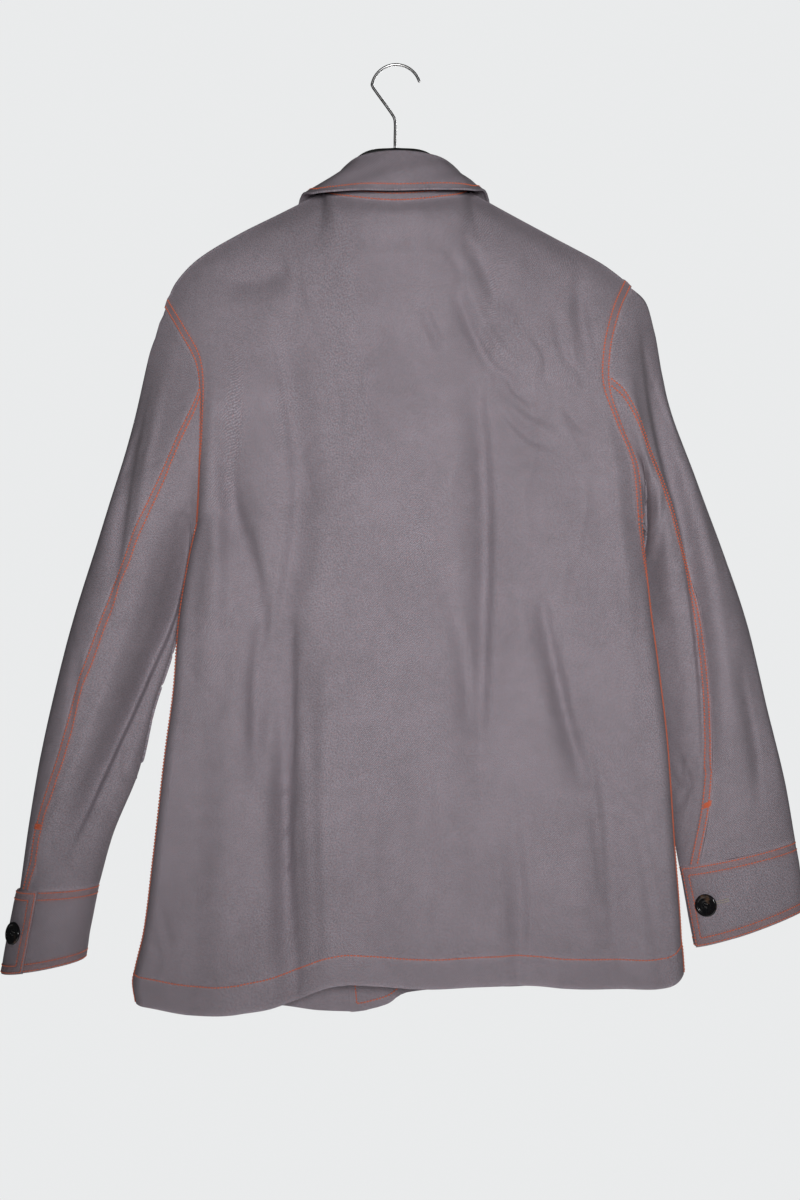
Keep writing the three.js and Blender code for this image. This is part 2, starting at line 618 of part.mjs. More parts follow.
// Seams share their directions: side seams, shoulders, armholes, sleeve seams
join(edge(back, 'left', 0, SIDE_ROWS), edge(frontLeft, 'left', 0, SIDE_ROWS));
join(edge(back, 'right', 0, SIDE_ROWS), edge(frontRight, 'right', 0, SIDE_ROWS));
join(edge(back, 'top', 0, SHOULDER_COLUMNS), edge(frontLeft, 'top', 0, SHOULDER_COLUMNS));
join(
  edge(back, 'top', BACK_COLUMNS, BACK_COLUMNS - SHOULDER_COLUMNS),
  edge(frontRight, 'top', 14, 14 - SHOULDER_COLUMNS),
);
sleeves.forEach(({ side, under, upper }) => {
  const front = side < 0 ? frontLeft : frontRight;
  const edgeSide = side < 0 ? 'left' : 'right';
  const tip = BODY_ROWS;
  const pit = SIDE_ROWS;
  const fade = (u) => 1 - 0.8 * u;
  join(edge(under, 'left', 0, SLEEVE_ROWS), edge(upper, 'right', 0, SLEEVE_ROWS));
  join(edge(under, 'right', 0, SLEEVE_ROWS), edge(upper, 'left', 0, SLEEVE_ROWS));
  join(edge(back, edgeSide, tip, tip - 5), edge(upper, 'top', 8, 13));
  join(edge(back, edgeSide, tip - 5, pit), edge(under, 'top', 0, 8), fade);
  join(edge(front, edgeSide, tip, tip - 8), edge(upper, 'top', 8, 0));
  join(edge(front, edgeSide, tip - 8, pit), edge(under, 'top', 13, 8), fade);
  const column = side < 0 ? 0 : front.columns;
  const backColumn = side < 0 ? 0 : BACK_COLUMNS;
  meet([back, backColumn, tip], [front, column, tip], [upper, 8, SLEEVE_ROWS]);
  meet([back, backColumn, tip - 5], [upper, 13, SLEEVE_ROWS], [under, 0, SLEEVE_ROWS]);
  meet([front, column, tip - 8], [upper, 0, SLEEVE_ROWS], [under, 13, SLEEVE_ROWS]);
  meet([back, backColumn, pit], [front, column, pit]);
});

// Collar on the neck seam: the stand up to just inside the fold, the fall over it and down to its edge
const neckLine = [];
for (let k = 0; k <= 5; k += 1) neckLine.push([frontLeft, 13 - k]);
for (let k = 1; k < 10; k += 1) neckLine.push([back, SHOULDER_COLUMNS + k]);
for (let k = 5; k >= 0; k -= 1) neckLine.push([frontRight, 1 + k]);
const neckPoints = neckLine.map(([grid, i]) => {
  const n = grid.index(i, BODY_ROWS);
  const out = grid.normals[n].clone();
  const down = grid.points[grid.index(i, BODY_ROWS - 1)].clone().sub(grid.points[n]).normalize();
  const inner = grid.points[n].clone().addScaledVector(out, -CLOTH).addScaledVector(down, -SEAM_GAP);
  return { inner, out };
});
const collarPoint = (column, row) => {
  const at = column / 20;
  const neck = neckPoints[column].inner;
  const pointOf = (line) => {
    const value = (axis) => read(COLLAR, line + axis, at);
    return new THREE.Vector3(value('X'), value('Y'), value('Z'));
  };
  const fold = pointOf('fold');
  const low = pointOf('edge');
  const outward = low.clone().sub(fold).setZ(0).normalize();
  if (row === 0) return neck;
  const inside = fold.clone().addScaledVector(outward, -3.6);
  inside.z -= 4.5;
  if (row < 3) return neck.clone().lerp(inside, row / 3 + (row === 2 ? 0.06 : 0));
  if (row === 3) return inside;
  if (row === 4) return fold;
  const outside = fold.clone().addScaledVector(outward, 3.6);
  outside.z -= 4.5;
  if (row === 5) return outside;
  outside.lerp(low, (row - 5) / 2);
  return row === 6 ? outside.addScaledVector(outward, 1.2) : outside;
};

const collarStand = makeGrid(20, 3, (i, j) => collarPoint(i, j), 1);
const collarFall = makeGrid(20, 4, (i, j) => collarPoint(i, 3 + j), 1);
neckPoints.forEach(({ out }, i) => {
  collarStand.normals[i].lerp(out.clone().negate(), 0.8).normalize();
});
join(edge(collarStand, 'top', 0, 20), edge(collarFall, 'bottom', 0, 20));
trim(edge(collarStand, 'top', 0, 20), [0, -1]);
trim(edge(collarFall, 'bottom', 0, 20), [0, 1]);

// Seam gaps
trim(edge(back, 'left', 0, BODY_ROWS), [1, 0]);
trim(edge(back, 'right', 0, BODY_ROWS), [-1, 0]);
trim(edge(back, 'top', 0, BACK_COLUMNS), [0, -1]);
trim(edge(frontLeft, 'left', 0, BODY_ROWS), [1, 0]);
trim(edge(frontLeft, 'top', 0, 14), [0, -1]);
trim(edge(frontRight, 'right', 0, BODY_ROWS), [-1, 0]);
trim(edge(frontRight, 'top', 0, 14), [0, -1]);
sleeves.forEach(({ under, upper }) => {
  [under, upper].forEach((grid) => {
    trim(edge(grid, 'left', 0, SLEEVE_ROWS), [1, 0]);
    trim(edge(grid, 'right', 0, SLEEVE_ROWS), [-1, 0]);
    trim(edge(grid, 'top', 0, 13), [0, -1]);
    trim(edge(grid, 'bottom', 0, 13), [0, 1]);
  });
});

// Cuffs: a band once round and past itself, the free end of the tab outside
const CUFF_TURN = 30;
const CUFF_LAP = 4;
const CUFF_RAISE = CUFF_CLOTH + 0.65;
function cuffGrid(side) {
  const top = (side < 0 ? LEFT_SLEEVE : RIGHT_SLEEVE).at(-1);
  const low = side < 0 ? LEFT_CUFF : RIGHT_CUFF;
  const step = (2 * Math.PI) / 26;
  return makeGrid(CUFF_TURN, 2, (i, j) => {
    const angle = THREE.MathUtils.degToRad(low.tab) - i * step;
    const share = 1 - j / 2;
    const value = (name) => mix(top[name], low[name], share);
    const c = Math.cos(angle);
    const s = Math.sin(angle);
    const halfX = (value('outX') - value('inX')) / 2;
    const halfZ = (value('outZ') - value('inZ')) / 2;
    const size = Math.hypot(halfX, halfZ);
    const raise = CUFF_RAISE * THREE.MathUtils.clamp(1 - (i - CUFF_LAP) / 4, 0, 1);
    const grow = (1 + raise / size) * c;
    const drop = (Math.sign(halfX) * SEAM_GAP) / size;
    return new THREE.Vector3(
      value('inX') + halfX * (1 + grow) + drop * halfZ,
      value('mid') - s * (value(s > 0 ? 'back' : 'front') + raise),
      value('inZ') + halfZ * (1 + grow) - drop * halfX,
    );
  }, side < 0 ? -1 : 1);
}

// Patch pockets lie on the fronts' own points, moved out
function pocketGrid(front, firstColumn) {
  const columns = POCKET_COLUMNS[1] - POCKET_COLUMNS[0];
  const rows = POCKET_ROWS[1] - POCKET_ROWS[0];
  const under = [];
  for (let j = 0; j <= rows; j += 1) {
    for (let i = 0; i <= columns; i += 1) under.push(front.index(firstColumn + i, POCKET_ROWS[0] + j));
  }
  const grid = makeGrid(columns, rows, (i, j) => {
    const n = under[j * (columns + 1) + i];
    return front.points[n].clone().addScaledVector(front.normals[n], LAY_GAP + POCKET_CLOTH);
  }, -1);
  grid.normals = under.map((n) => front.normals[n].clone());
  return grid;
}

const CLOTH_LOOK = { color: 0x8a8187, roughness: 0.9 };
const HORN_LOOK = { color: 0x141414, roughness: 0.4 };
const PLASTIC_LOOK = { color: 0x111112, roughness: 0.5 };
const STEEL_LOOK = { color: 0xb8bcc0, roughness: 0.3, metalness: 1 };
const pieces = [];
const add = (name, geometry, look = CLOTH_LOOK) => pieces.push({ name, geometry, look });
const bodyWall = (row) => (row < 2 ? HEM_CLOTH : CLOTH);
const plainWall = () => CLOTH;
const cuffWall = () => CUFF_CLOTH;
const pocketWall = () => POCKET_CLOTH;

add('back', wall(back, bodyWall));
add('front_left', wall(frontLeft, bodyWall));
add('front_right', wall(frontRight, bodyWall));
add('collar_stand', wall(collarStand, plainWall));
add('collar_fall', wall(collarFall, plainWall));
sleeves.forEach(({ side, under, upper }) => {
  const word = side < 0 ? 'left' : 'right';
  add(`sleeve_upper_${word}`, wall(upper, plainWall));
  add(`sleeve_under_${word}`, wall(under, plainWall));
  const cuff = cuffGrid(side);
  add(`cuff_${word}`, wall(cuff, cuffWall));
  const n = cuff.index(2, 1);
  const seat = cuff.points[n].clone().addScaledVector(cuff.normals[n], LAY_GAP);
  add(`button_cuff_${word}`, button(seat, cuff.normals[n]), HORN_LOOK);
});
add('pocket_left', wall(pocketGrid(frontLeft, POCKET_COLUMNS[0]), pocketWall));
add('pocket_right', wall(pocketGrid(frontRight, 14 - POCKET_COLUMNS[1]), pocketWall));
BUTTON_ROWS.forEach((row, k) => {
  const n = frontLeft.index(BUTTON_LINE, row);
  const seat = frontLeft.points[n].clone().addScaledVector(frontLeft.normals[n], 0.5);
  add(`button_front_${k + 1}`, button(seat, frontLeft.normals[n]), HORN_LOOK);
});

// Hanger: two arms in one bar, from end to end
const shoulderAt = (side, x) => {
  let at = 0.5;
  for (let k = 1; k < 16; k += 1) at += (Math.abs(shoulderPoint(side, at).x) > x ? 1 : -1) * 0.5 ** (k + 1);
  return shoulderPoint(side, at).z;
};
const hangerLine = [];
[-1, 1].forEach((side) => {
  const arm = HANGER_NECK.map(({ x, z }) => [x, z]);
  for (let x = 72; x <= HANGER_END - 6; x += 29.5) arm.push([x, shoulderAt(side, x) - HANGER_DROP]);
  arm.push([HANGER_END, shoulderAt(side, HANGER_END) - HANGER_DROP - 2]);
  const points = arm.map(([x, z]) => new THREE.Vector3(side * x, 0, z));
  if (side < 0) hangerLine.push(...points.reverse());
  else hangerLine.push(...points.slice(1));
});
add('hanger', rod(hangerLine, 2.6, 4.6, 46), PLASTIC_LOOK);

// Hook: open end of the crook, over the top, then the bent shank down to the hanger
const hookLine = [];
const crookZ = WIRE_RADIUS - CROOK_RADIUS;
for (let k = 0; k <= 14; k += 1) {
  const a = THREE.MathUtils.degToRad(mix(CROOK_START, 170, k / 14));
  hookLine.push(new THREE.Vector3(CROOK_RADIUS * Math.cos(a), 0, crookZ + CROOK_RADIUS * Math.sin(a)));
}
HOOK_SHANK.slice(1, -1).forEach(({ x, z }) => hookLine.push(new THREE.Vector3(x, 0, z)));
hookLine.push(new THREE.Vector3(-1, 0, -83 + 4.6 + LAY_GAP));
add('hanger_hook', rod(hookLine, WIRE_RADIUS, WIRE_RADIUS, 44), STEEL_LOOK);

const group = new THREE.Group();
for (const { name, geometry, look } of pieces) {
  const material = new THREE.MeshStandardMaterial({ ...look, side: THREE.DoubleSide });
  const mesh = new THREE.Mesh(geometry, material);
  mesh.name = name;
  group.add(mesh);
}
export default group;
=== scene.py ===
"""Looks of the chore jacket on its hanger: cloth panels, sewing, buttons, hanger and hook.

Sizes are written in millimetres and put into the meshes in metres.
"""
import math

import bpy
import numpy as np
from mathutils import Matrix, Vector


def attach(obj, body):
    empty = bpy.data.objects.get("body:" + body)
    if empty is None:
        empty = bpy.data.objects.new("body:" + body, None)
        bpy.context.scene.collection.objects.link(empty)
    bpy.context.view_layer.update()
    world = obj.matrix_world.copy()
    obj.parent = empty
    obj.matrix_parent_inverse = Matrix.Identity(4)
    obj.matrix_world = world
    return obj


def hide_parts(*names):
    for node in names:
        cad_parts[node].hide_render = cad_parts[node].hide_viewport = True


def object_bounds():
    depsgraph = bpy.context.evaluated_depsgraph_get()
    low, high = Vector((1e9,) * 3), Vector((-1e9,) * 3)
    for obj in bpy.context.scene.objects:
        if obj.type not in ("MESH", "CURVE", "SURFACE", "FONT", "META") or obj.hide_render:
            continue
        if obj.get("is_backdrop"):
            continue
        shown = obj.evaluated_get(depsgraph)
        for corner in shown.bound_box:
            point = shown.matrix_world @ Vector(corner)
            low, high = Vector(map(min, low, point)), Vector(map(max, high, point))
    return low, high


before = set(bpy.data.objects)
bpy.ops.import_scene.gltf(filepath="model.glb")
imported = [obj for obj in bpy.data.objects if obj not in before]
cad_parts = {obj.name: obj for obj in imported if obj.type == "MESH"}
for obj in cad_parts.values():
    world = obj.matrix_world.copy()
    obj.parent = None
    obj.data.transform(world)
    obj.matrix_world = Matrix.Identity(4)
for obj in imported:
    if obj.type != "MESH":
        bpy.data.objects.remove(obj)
cad_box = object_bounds()
scene = bpy.context.scene
MM = 0.001

# Camera at the photograph's place, level and straight at the jacket's back
camera = bpy.data.objects.new("camera", bpy.data.cameras.new("camera"))
camera.data.sensor_width = 36
camera.data.lens = 59.375
camera.location = (0.00384, -1.9, -0.51264)
camera.rotation_euler = (math.pi / 2, 0, 0)
camera.data.clip_start = 0.05
scene.collection.objects.link(camera)
scene.camera = camera


# Tables of the jacket's form

def table(names, *rows):
    """Rows of numbers under named columns, as one array for each name."""
    return dict(zip(names.split(), np.array(rows, float).T))


SIDE_SEAM = table(
    "at leftX leftZ rightX rightZ",
    (0.00, -249, -897, 275.5, -868), (0.05, -251.5, -875, 274, -846),
    (0.14, -241.5, -829, 271.5, -806), (0.28, -233.5, -765, 267, -748),
    (0.50, -221.5, -660, 260, -648), (0.64, -213.5, -600, 253, -588), (0.80, -208, -530, 244, -520),
    (0.92, -199, -475, 238.5, -470), (1.00, -191, -440, 236, -440))
ARMHOLE = table(
    "at leftX leftZ leftDepth rightX rightZ rightDepth",
    (0.00, -191, -440, 0, 236, -440, 0), (0.12, -188, -416, 15, 234, -415, 9),
    (0.25, -185.5, -389, 27, 229.5, -384, 17), (0.40, -184, -357, 35, 214.5, -350, 28),
    (0.56, -184, -322, 37, 202, -314, 39), (0.72, -189, -290, 32, 203, -276, 37),
    (0.86, -205, -260, 20, 213, -239, 22), (1.00, -222, -232, 0, 226, -212, 0))
FRONT_ARMHOLE = table("at out depth", (0, 0, 0), (0.25, -3, 20), (0.56, -5, 30), (0.86, -2, 18), (1, 0, 0))
SHOULDER = table(
    "at leftX leftZ rightX rightZ",
    (0.000, -222, -232, 226, -212), (0.125, -211.5, -208, 212, -200), (0.250, -191, -186, 194, -187.5),
    (0.500, -152, -162, 152, -165), (0.750, -112, -142, 112, -143.5), (1.000, -72, -122, 72, -121.5))
BACK_NECK = table(
    "at x y z", (0.0, -72, 0, -122), (0.2, -58, -30, -131), (0.5, 0, -50, -140), (0.8, 58, -30, -131),
    (1.0, 72, 0, -121.5))
FRONT_NECK = table(
    "at x y z", (0.0, -72, 0, -122), (0.1, -69, 22, -136), (0.2, -59, 38, -156), (0.3, -43, 48, -179),
    (0.4, -22, 54, -197), (0.5, 0, 56, -203), (0.6, 22, 54, -197), (0.7, 43, 48, -179), (0.8, 59, 38, -156),
    (0.9, 69, 22, -136), (1.0, 72, 0, -121.5))
BACK_HEM = table(
    "x z", (-249, -897), (-229, -899.5), (-193, -904), (-157, -903), (-127, -898.5), (-108, -894),
    (-93, -889), (-80, -883), (-62, -875.5), (-41, -873), (23, -876), (96, -874.5), (128, -875),
    (167, -878), (237, -880.5), (257, -879.5), (266, -876), (275.5, -868))
FRONT_HEM = table(
    "x z", (-249, -897), (-180, -905), (-111, -911), (-45, -917.5), (-10, -911), (10, -899), (90, -893),
    (200, -886), (275.5, -868))
FULLNESS = table(
    "at back front", (0.00, 50, 52), (0.30, 50, 52), (0.55, 49, 50), (0.65, 37, 42), (0.75, 21, 27),
    (0.85, 10, 13), (0.93, 11, 10), (0.97, 12, 12), (1.00, 0, 0))
LEFT_SLEEVE = table(
    "at outX outZ inX inZ mid back front elbow forearm",
    (0.00, -222, -232, -192.5, -441, 0, 38, 38, 69.231, 110.769),
    (0.10, -237, -274, -198, -455, 6, 42, 42, 76, 112),
    (0.22, -256.5, -348, -199.5, -482, 20, 48, 48, 78, 114),
    (0.36, -285.5, -443, -208, -522, 25, 54, 52, 74, 116),
    (0.50, -311.5, -526, -219.5, -568, 24, 54, 52, 67, 118),
    (0.64, -329, -594, -236, -619, 22, 50, 48, 61, 120),
    (0.78, -344, -663, -250, -680, 19, 44, 42, 55, 122),
    (0.90, -355, -730, -273.5, -738, 16, 38, 36, 41, 122),
    (1.00, -363, -791, -287, -787, 13, 34, 32, 32, 120))
RIGHT_SLEEVE = table(
    "at outX outZ inX inZ mid back front elbow forearm",
    (0.00, 226, -212, 238, -441, 0, 38, 38, 69.231, 110.769),
    (0.05, 241, -226, 241, -446, 4, 40, 41, 70, 111),
    (0.11, 249.5, -254, 244, -453, 9, 42, 44, 72, 112),
    (0.22, 264.5, -322, 240.5, -474, 20, 46, 50, 79, 114),
    (0.36, 292, -397, 241, -520, 27, 52, 52, 82, 116),
    (0.50, 319, -469, 247, -575, 29, 54, 52, 80, 118),
    (0.64, 341.5, -537, 257.5, -635, 27, 50, 48, 90, 120),
    (0.78, 361, -620, 263, -692, 25, 42, 40, 101, 122),
    (0.90, 377, -687, 268.5, -735, 22, 34, 30, 116, 124),
    (1.00, 387, -745.5, 274.5, -770.5, 20, 26, 22, 134, 126))
CUFF_END = {
    -1: dict(outX=-378, outZ=-871, inX=-300, inZ=-858, mid=12, back=36, front=34, tab=68),
    1: dict(outX=397.5, outZ=-811.5, inX=289, inZ=-848, mid=20, back=27, front=22, tab=160),
}
COLLAR = table(
    "at foldX foldY foldZ edgeX edgeY edgeZ",
    (0.00, -7, 68, -184, -46, 79, -246), (0.10, -40, 58, -160, -84, 69, -213),
    (0.20, -62, 30, -124, -99, 43, -164), (0.25, -58, 4, -110, -92, 2, -130),
    (0.32, -42, -28, -99.5, -76, -44, -132), (0.40, -26, -40, -95, -42, -62, -133),
    (0.50, 0, -45, -93, 0, -68, -133.5), (0.60, 28, -40, -94.5, 42, -62, -132),
    (0.68, 48, -27, -99, 73, -44, -129), (0.75, 65, 4, -111, 88, 2, -127),
    (0.80, 63, 30, -125, 97, 43, -163), (0.90, 40, 58, -160, 84, 69, -213),
    (1.00, 7, 68, -184, 46, 79, -246))

# Folds: depth, half width, lean (the share by which one side is wider and the other narrower),
# and points (x, z) along the fold. A depth below 0 is a trough and above 0 a ridge.
BACK_FOLDS = [
    (-15, 34, 0.0, (-97, -535), (-101, -700), (-92, -915)),
    (7, 30, 0.0, (-150, -560), (-158, -720), (-166, -930)),
    (-6, 22, 0.0, (-128, -520), (-133, -690)),
    (-10, 38, 0.0, (79, -290), (84, -430), (84, -560), (80, -700)),
    (-8, 26, 0.0, (135, -500), (165, -620), (180, -690)),
    (-8, 26, 0.0, (-165, -340), (-150, -450), (-124, -560)),
    (-6, 34, 0.0, (-112, -250), (-92, -400), (-110, -530), (-140, -670)),
    (-7, 22, 0.0, (-184, -200), (-140, -214), (-100, -208)),
    (-6, 26, 0.0, (72, -180), (98, -230), (70, -270)),
    (-5, 22, 0.0, (58, -220), (76, -280), (112, -318)),
    (-9, 20, 0.0, (184, -188), (178, -235), (184, -290), (196, -330)),
    (6, 24, 0.0, (-168, -300), (-176, -470), (-188, -620)),
    (6, 26, 0.0, (198, -320), (214, -430), (218, -560)),
    (6, 46, 0.0, (20, -560), (40, -750), (30, -920)),
    (-7, 34, 0.0, (200, -700), (214, -920)),
    (-5, 34, 0.0, (120, -760), (128, -920)),
]
FRONT_FOLDS = [
    (-7, 34, 0.0, (-110, -250), (-96, -400), (-110, -560)),
    (-7, 34, 0.0, (108, -240), (96, -400), (112, -580)),
    (-9, 32, 0.0, (-70, -600), (-84, -760), (-78, -930)),
    (-8, 32, 0.0, (92, -620), (110, -760), (118, -910)),
    (6, 34, 0.0, (-150, -680), (-160, -920)),
    (5, 34, 0.0, (190, -700), (200, -900)),
]
SLEEVE_FOLDS = {
    -1: [
        (-19, 26, 0.0, (-200, -430), (-219, -513), (-254, -608), (-286, -680), (-322, -770)),
        (-6, 18, 0.0, (-250, -330), (-262, -420), (-268, -500)),
    ],
    1: [
        (-15, 24, 0.0, (236, -240), (243, -320), (258, -371), (276, -446), (287, -518), (296, -597),
         (298, -677)),
        (-9, 34, 0.0, (252, -470), (270, -560), (278, -640)),
        (-8, 16, 0.0, (240, -400), (243, -470), (248, -540)),
        (-6, 22, 0.0, (330, -560), (350, -660), (352, -720)),
    ],
}

# Finer creases laid over the folds, in the same form
BACK_CREASES = [
    (-7.0, 16, 0.55, (-98, -520), (-99, -640), (-101, -760), (-92, -900)),
    (-4.5, 15, -0.5, (-128, -530), (-134, -610), (-130, -690)),
    (-3.0, 18, 0.4, (-161, -365), (-150, -430), (-129, -490), (-124, -560)),
    (-4.0, 20, -0.5, (-112, -262), (-92, -400), (-108, -530), (-134, -650)),
    (-4.5, 18, 0.5, (78, -300), (86, -430), (84, -540), (80, -640)),
    (-4.0, 16, 0.5, (136, -506), (160, -610), (180, -690)),
    (3.5, 20, 0.3, (-178, -290), (-172, -420), (-168, -600)),
    (3.5, 22, -0.3, (196, -310), (214, -420), (226, -520)),
    (-3.5, 14, 0.4, (108, -700), (118, -800), (114, -880)),
    (-3.0, 14, -0.4, (186, -620), (200, -740), (206, -840)),
    (-3.0, 12, 0.4, (40, -470), (62, -560), (70, -640)),
    (3.0, 16, 0.0, (-60, -560), (-66, -700), (-62, -860)),
    (-2.6, 7, 0.3, (-16, -136), (-2, -142), (16, -137)),
    (-1.8, 8, 0.3, (-20, -150), (0, -158), (22, -152)),
    (-3.0, 12, 0.4, (-180, -196), (-140, -206), (-104, -202)),
    (-2.0, 9, -0.3, (-120, -190), (-98, -214), (-92, -250)),
    (-3.2, 11, 0.4, (62, -170), (84, -200), (96, -238)),
    (-3.2, 8, 0.5, (56, -222), (72, -258), (90, -291), (110, -304)),
    (2.0, 7, 0.0, (62, -214), (82, -250), (100, -280), (122, -296)),
    (-3.0, 8, 0.5, (26, -240), (44, -276)),
    (-2.6, 7, -0.5, (104, -300), (112, -318), (132, -330)),
    (-2.2, 7, 0.5, (44, -180), (60, -200), (64, -226)),
    (-2.0, 7, -0.4, (124, -262), (140, -286), (138, -310)),
    (-2.4, 8, 0.4, (150, -240), (160, -280), (178, -310)),
    (-2.4, 8, -0.5, (100, -336), (122, -360), (150, -372)),
    (2.0, 8, 0.0, (96, -324), (124, -346), (152, -356)),
    (-1.6, 7, 0.3, (100, -226), (112, -246), (104, -262)),
    (-1.2, 10, 0.3, (-163, -385), (-150, -434), (-132, -484), (-126, -548)),
    (-3.4, 11, 0.4, (-112, -560), (-106, -700), (-104, -880)),
    (2.2, 10, 0.0, (-90, -600), (-84, -740), (-80, -880)),
    (-1.8, 8, -0.3, (-136, -550), (-138, -690)),
    (-2.4, 10, 0.3, (78, -320), (84, -450), (82, -560), (78, -680)),
    (-2.2, 8, 0.4, (136, -510), (160, -620), (174, -670)),
    (-1.4, 8, 0.2, (30, -640), (34, -760), (26, -880)),
    (-1.6, 9, -0.3, (-20, -690), (-24, -850)),
    (-1.4, 7, 0.3, (12, -842), (30, -846)),
    (-2.2, 8, 0.3, (-244, -806), (-228, -838), (-222, -858)),
    (-1.8, 7, -0.3, (-226, -800), (-212, -846)),
    (-2.0, 9, 0.3, (226, -720), (240, -790), (246, -850)),
    (-1.6, 8, -0.3, (184, -700), (196, -800)),
    (-3.0, 9, 0.4, (180, -190), (176, -230), (184, -280), (198, -322)),
    (-1.6, 7, 0.3, (156, -330), (176, -350), (190, -352)),
    (-1.5, 8, 0.3, (-176, -420), (-160, -446)),
]
FRONT_CREASES = [
    (-2.4, 10, 0.3, (-170, -300), (-140, -360), (-120, -440)),
    (-2.4, 10, -0.3, (176, -300), (146, -360), (124, -440)),
    (-1.8, 9, 0.3, (-190, -460), (-150, -500), (-110, -560)),
    (-1.8, 9, -0.3, (204, -460), (160, -500), (112, -550)),
    (-1.6, 8, 0.3, (-60, -250), (-50, -330)),
    (-1.6, 8, -0.3, (62, -250), (52, -340)),
    (-1.8, 9, 0.3, (-100, -640), (-104, -860)),
    (-1.8, 9, 0.3, (128, -640), (134, -860)),
]
SLEEVE_CREASES = {
    -1: [
        (-9.0, 12, 0.4, (-196, -420), (-214, -515), (-250, -604), (-281, -676), (-317, -760)),
        (-3.0, 9, 0.3, (-236, -300), (-252, -380), (-262, -460), (-272, -530)),
        (2.0, 9, 0.0, (-222, -300), (-238, -390), (-246, -470)),
        (-2.4, 8, -0.3, (-256, -640), (-262, -676), (-252, -690)),
        (-2.2, 7, 0.3, (-282, -700), (-268, -724)),
        (-1.8, 8, 0.3, (-300, -560), (-310, -640)),
        (-1.8, 7, 0.3, (-250, -280), (-262, -340)),
        (-2.6, 6, 0.3, (-330, -730), (-324, -760), (-312, -778)),
        (-2.0, 7, 0.3, (-350, -752), (-336, -778)),
    ],
    1: [
        (-15.0, 8, 0.2, (233, -388), (238, -425), (236, -484)),
        (4.5, 8, 0.0, (236, -372), (249, -404), (249, -424), (243, -478)),
        (-8.0, 12, -0.4, (234, -240), (241, -300), (254, -371), (274, -446), (286, -520), (294, -597),
         (297, -677)),
        (-2.4, 8, 0.3, (252, -230), (254, -300), (266, -360)),
        (-2.4, 8, -0.3, (226, -300), (238, -360), (252, -420)),
        (-2.0, 7, 0.3, (272, -660), (282, -690), (276, -710)),
        (-2.0, 7, -0.3, (262, -680), (276, -694)),
        (-2.0, 9, 0.3, (330, -580), (346, -660), (348, -720)),
        (-1.8, 8, 0.3, (372, -720), (354, -736), (338, -736)),
        (-1.6, 8, 0.3, (300, -420), (318, -500)),
    ],
}


def cubic(a, b, slope_a, slope_b, u):
    """Value between two ends by share u, with the slope given at each end (per whole step)."""
    u2, u3 = u * u, u * u * u
    ends = (2 * u3 - 3 * u2 + 1) * a + (3 * u2 - 2 * u3) * b
    return ends + (u3 - 2 * u2 + u) * slope_a + (u3 - u2) * slope_b


def read(rows, column, at, key="at"):
    """Value of a column at a share along a table: cubic between rows, each row's slope that of its
    neighbours."""
    x, v = rows[key], rows[column]
    last = len(x) - 1
    before = np.maximum(np.arange(last + 1) - 1, 0)
    after = np.minimum(np.arange(last + 1) + 1, last)
    slope = (v[after] - v[before]) / (x[after] - x[before])
    k = np.clip(np.searchsorted(x, at, side="left") - 1, 0, last - 1)
    step = x[k + 1] - x[k]
    u = np.clip((at - x[k]) / step, 0, 1)
    return cubic(v[k], v[k + 1], step * slope[k], step * slope[k + 1], u)


def read_point(rows, columns, at):
    """Points whose three coordinates are three columns of a table."""
    return np.stack([read(rows, column, at) for column in columns.split()], -1)


def mix(a, b, share):
    """The value a share of the way from a to b."""
    return a + (b - a) * share


def ramp(value, start, end):
    """0 below start and 1 above end, with a soft step between."""
    u = np.clip((value - start) / (end - start), 0, 1)
    return u * u * (3 - 2 * u)


def unit(v):
    """Directions of length 1."""
    return v / np.maximum(np.linalg.norm(v, axis=-1, keepdims=True), 1e-9)


def run_of(points):
    """Length along a line up to each of its points."""
    return np.concatenate([[0], np.cumsum(np.linalg.norm(np.diff(points, axis=0), axis=1))])


def place_on(values, run, at):
    """Values of a line at lengths along it."""
    return np.stack([np.interp(at, run, values[:, k]) for k in range(3)], -1)


def smooth_path(points, pieces=18):
    """A soft line through a few points: the cubic through the corners, taken at even shares."""
    p = np.array(points, float)
    if len(p) == 2:
        return p[0] + (p[1] - p[0]) * np.linspace(0, 1, 5)[:, None]
    at = run_of(p)
    rows = {"at": at / at[-1]}
    share = np.linspace(0, 1, pieces)
    columns = []
    for c in range(p.shape[1]):
        rows["v"] = p[:, c]
        columns.append(read(rows, "v", share))
    return np.stack(columns, -1)


def fold_depth(folds, x, z):
    """Sum of the folds at points seen from behind: a raised cosine across each one, wider on one side
    than on the other, times the root of a sine along it, so that both ends die away."""
    depth = np.zeros_like(x)
    for amount, half, lean, *points in folds:
        line = smooth_path(points)
        runs = run_of(line)
        lengths = np.diff(runs)
        nearest = np.full_like(x, 1e9)
        share = np.zeros_like(x)
        side = np.zeros_like(x)
        for (ax, az), (bx, bz), length, run in zip(line[:-1], line[1:], lengths, runs):
            dx, dz = (bx - ax) / length, (bz - az) / length
            t = np.clip((x - ax) * dx + (z - az) * dz, 0, length)
            away = np.hypot(x - ax - t * dx, z - az - t * dz)
            closer = away < nearest
            nearest = np.where(closer, away, nearest)
            share = np.where(closer, (run + t) / runs[-1], share)
            side = np.where(closer, np.sign((x - ax) * dz - (z - az) * dx), side)
        across = 0.5 + 0.5 * np.cos(np.pi * np.clip(nearest / (half * (1 + lean * side)), 0, 1))
        depth += amount * across * np.sqrt(np.maximum(np.sin(np.pi * share), 0))
    return depth


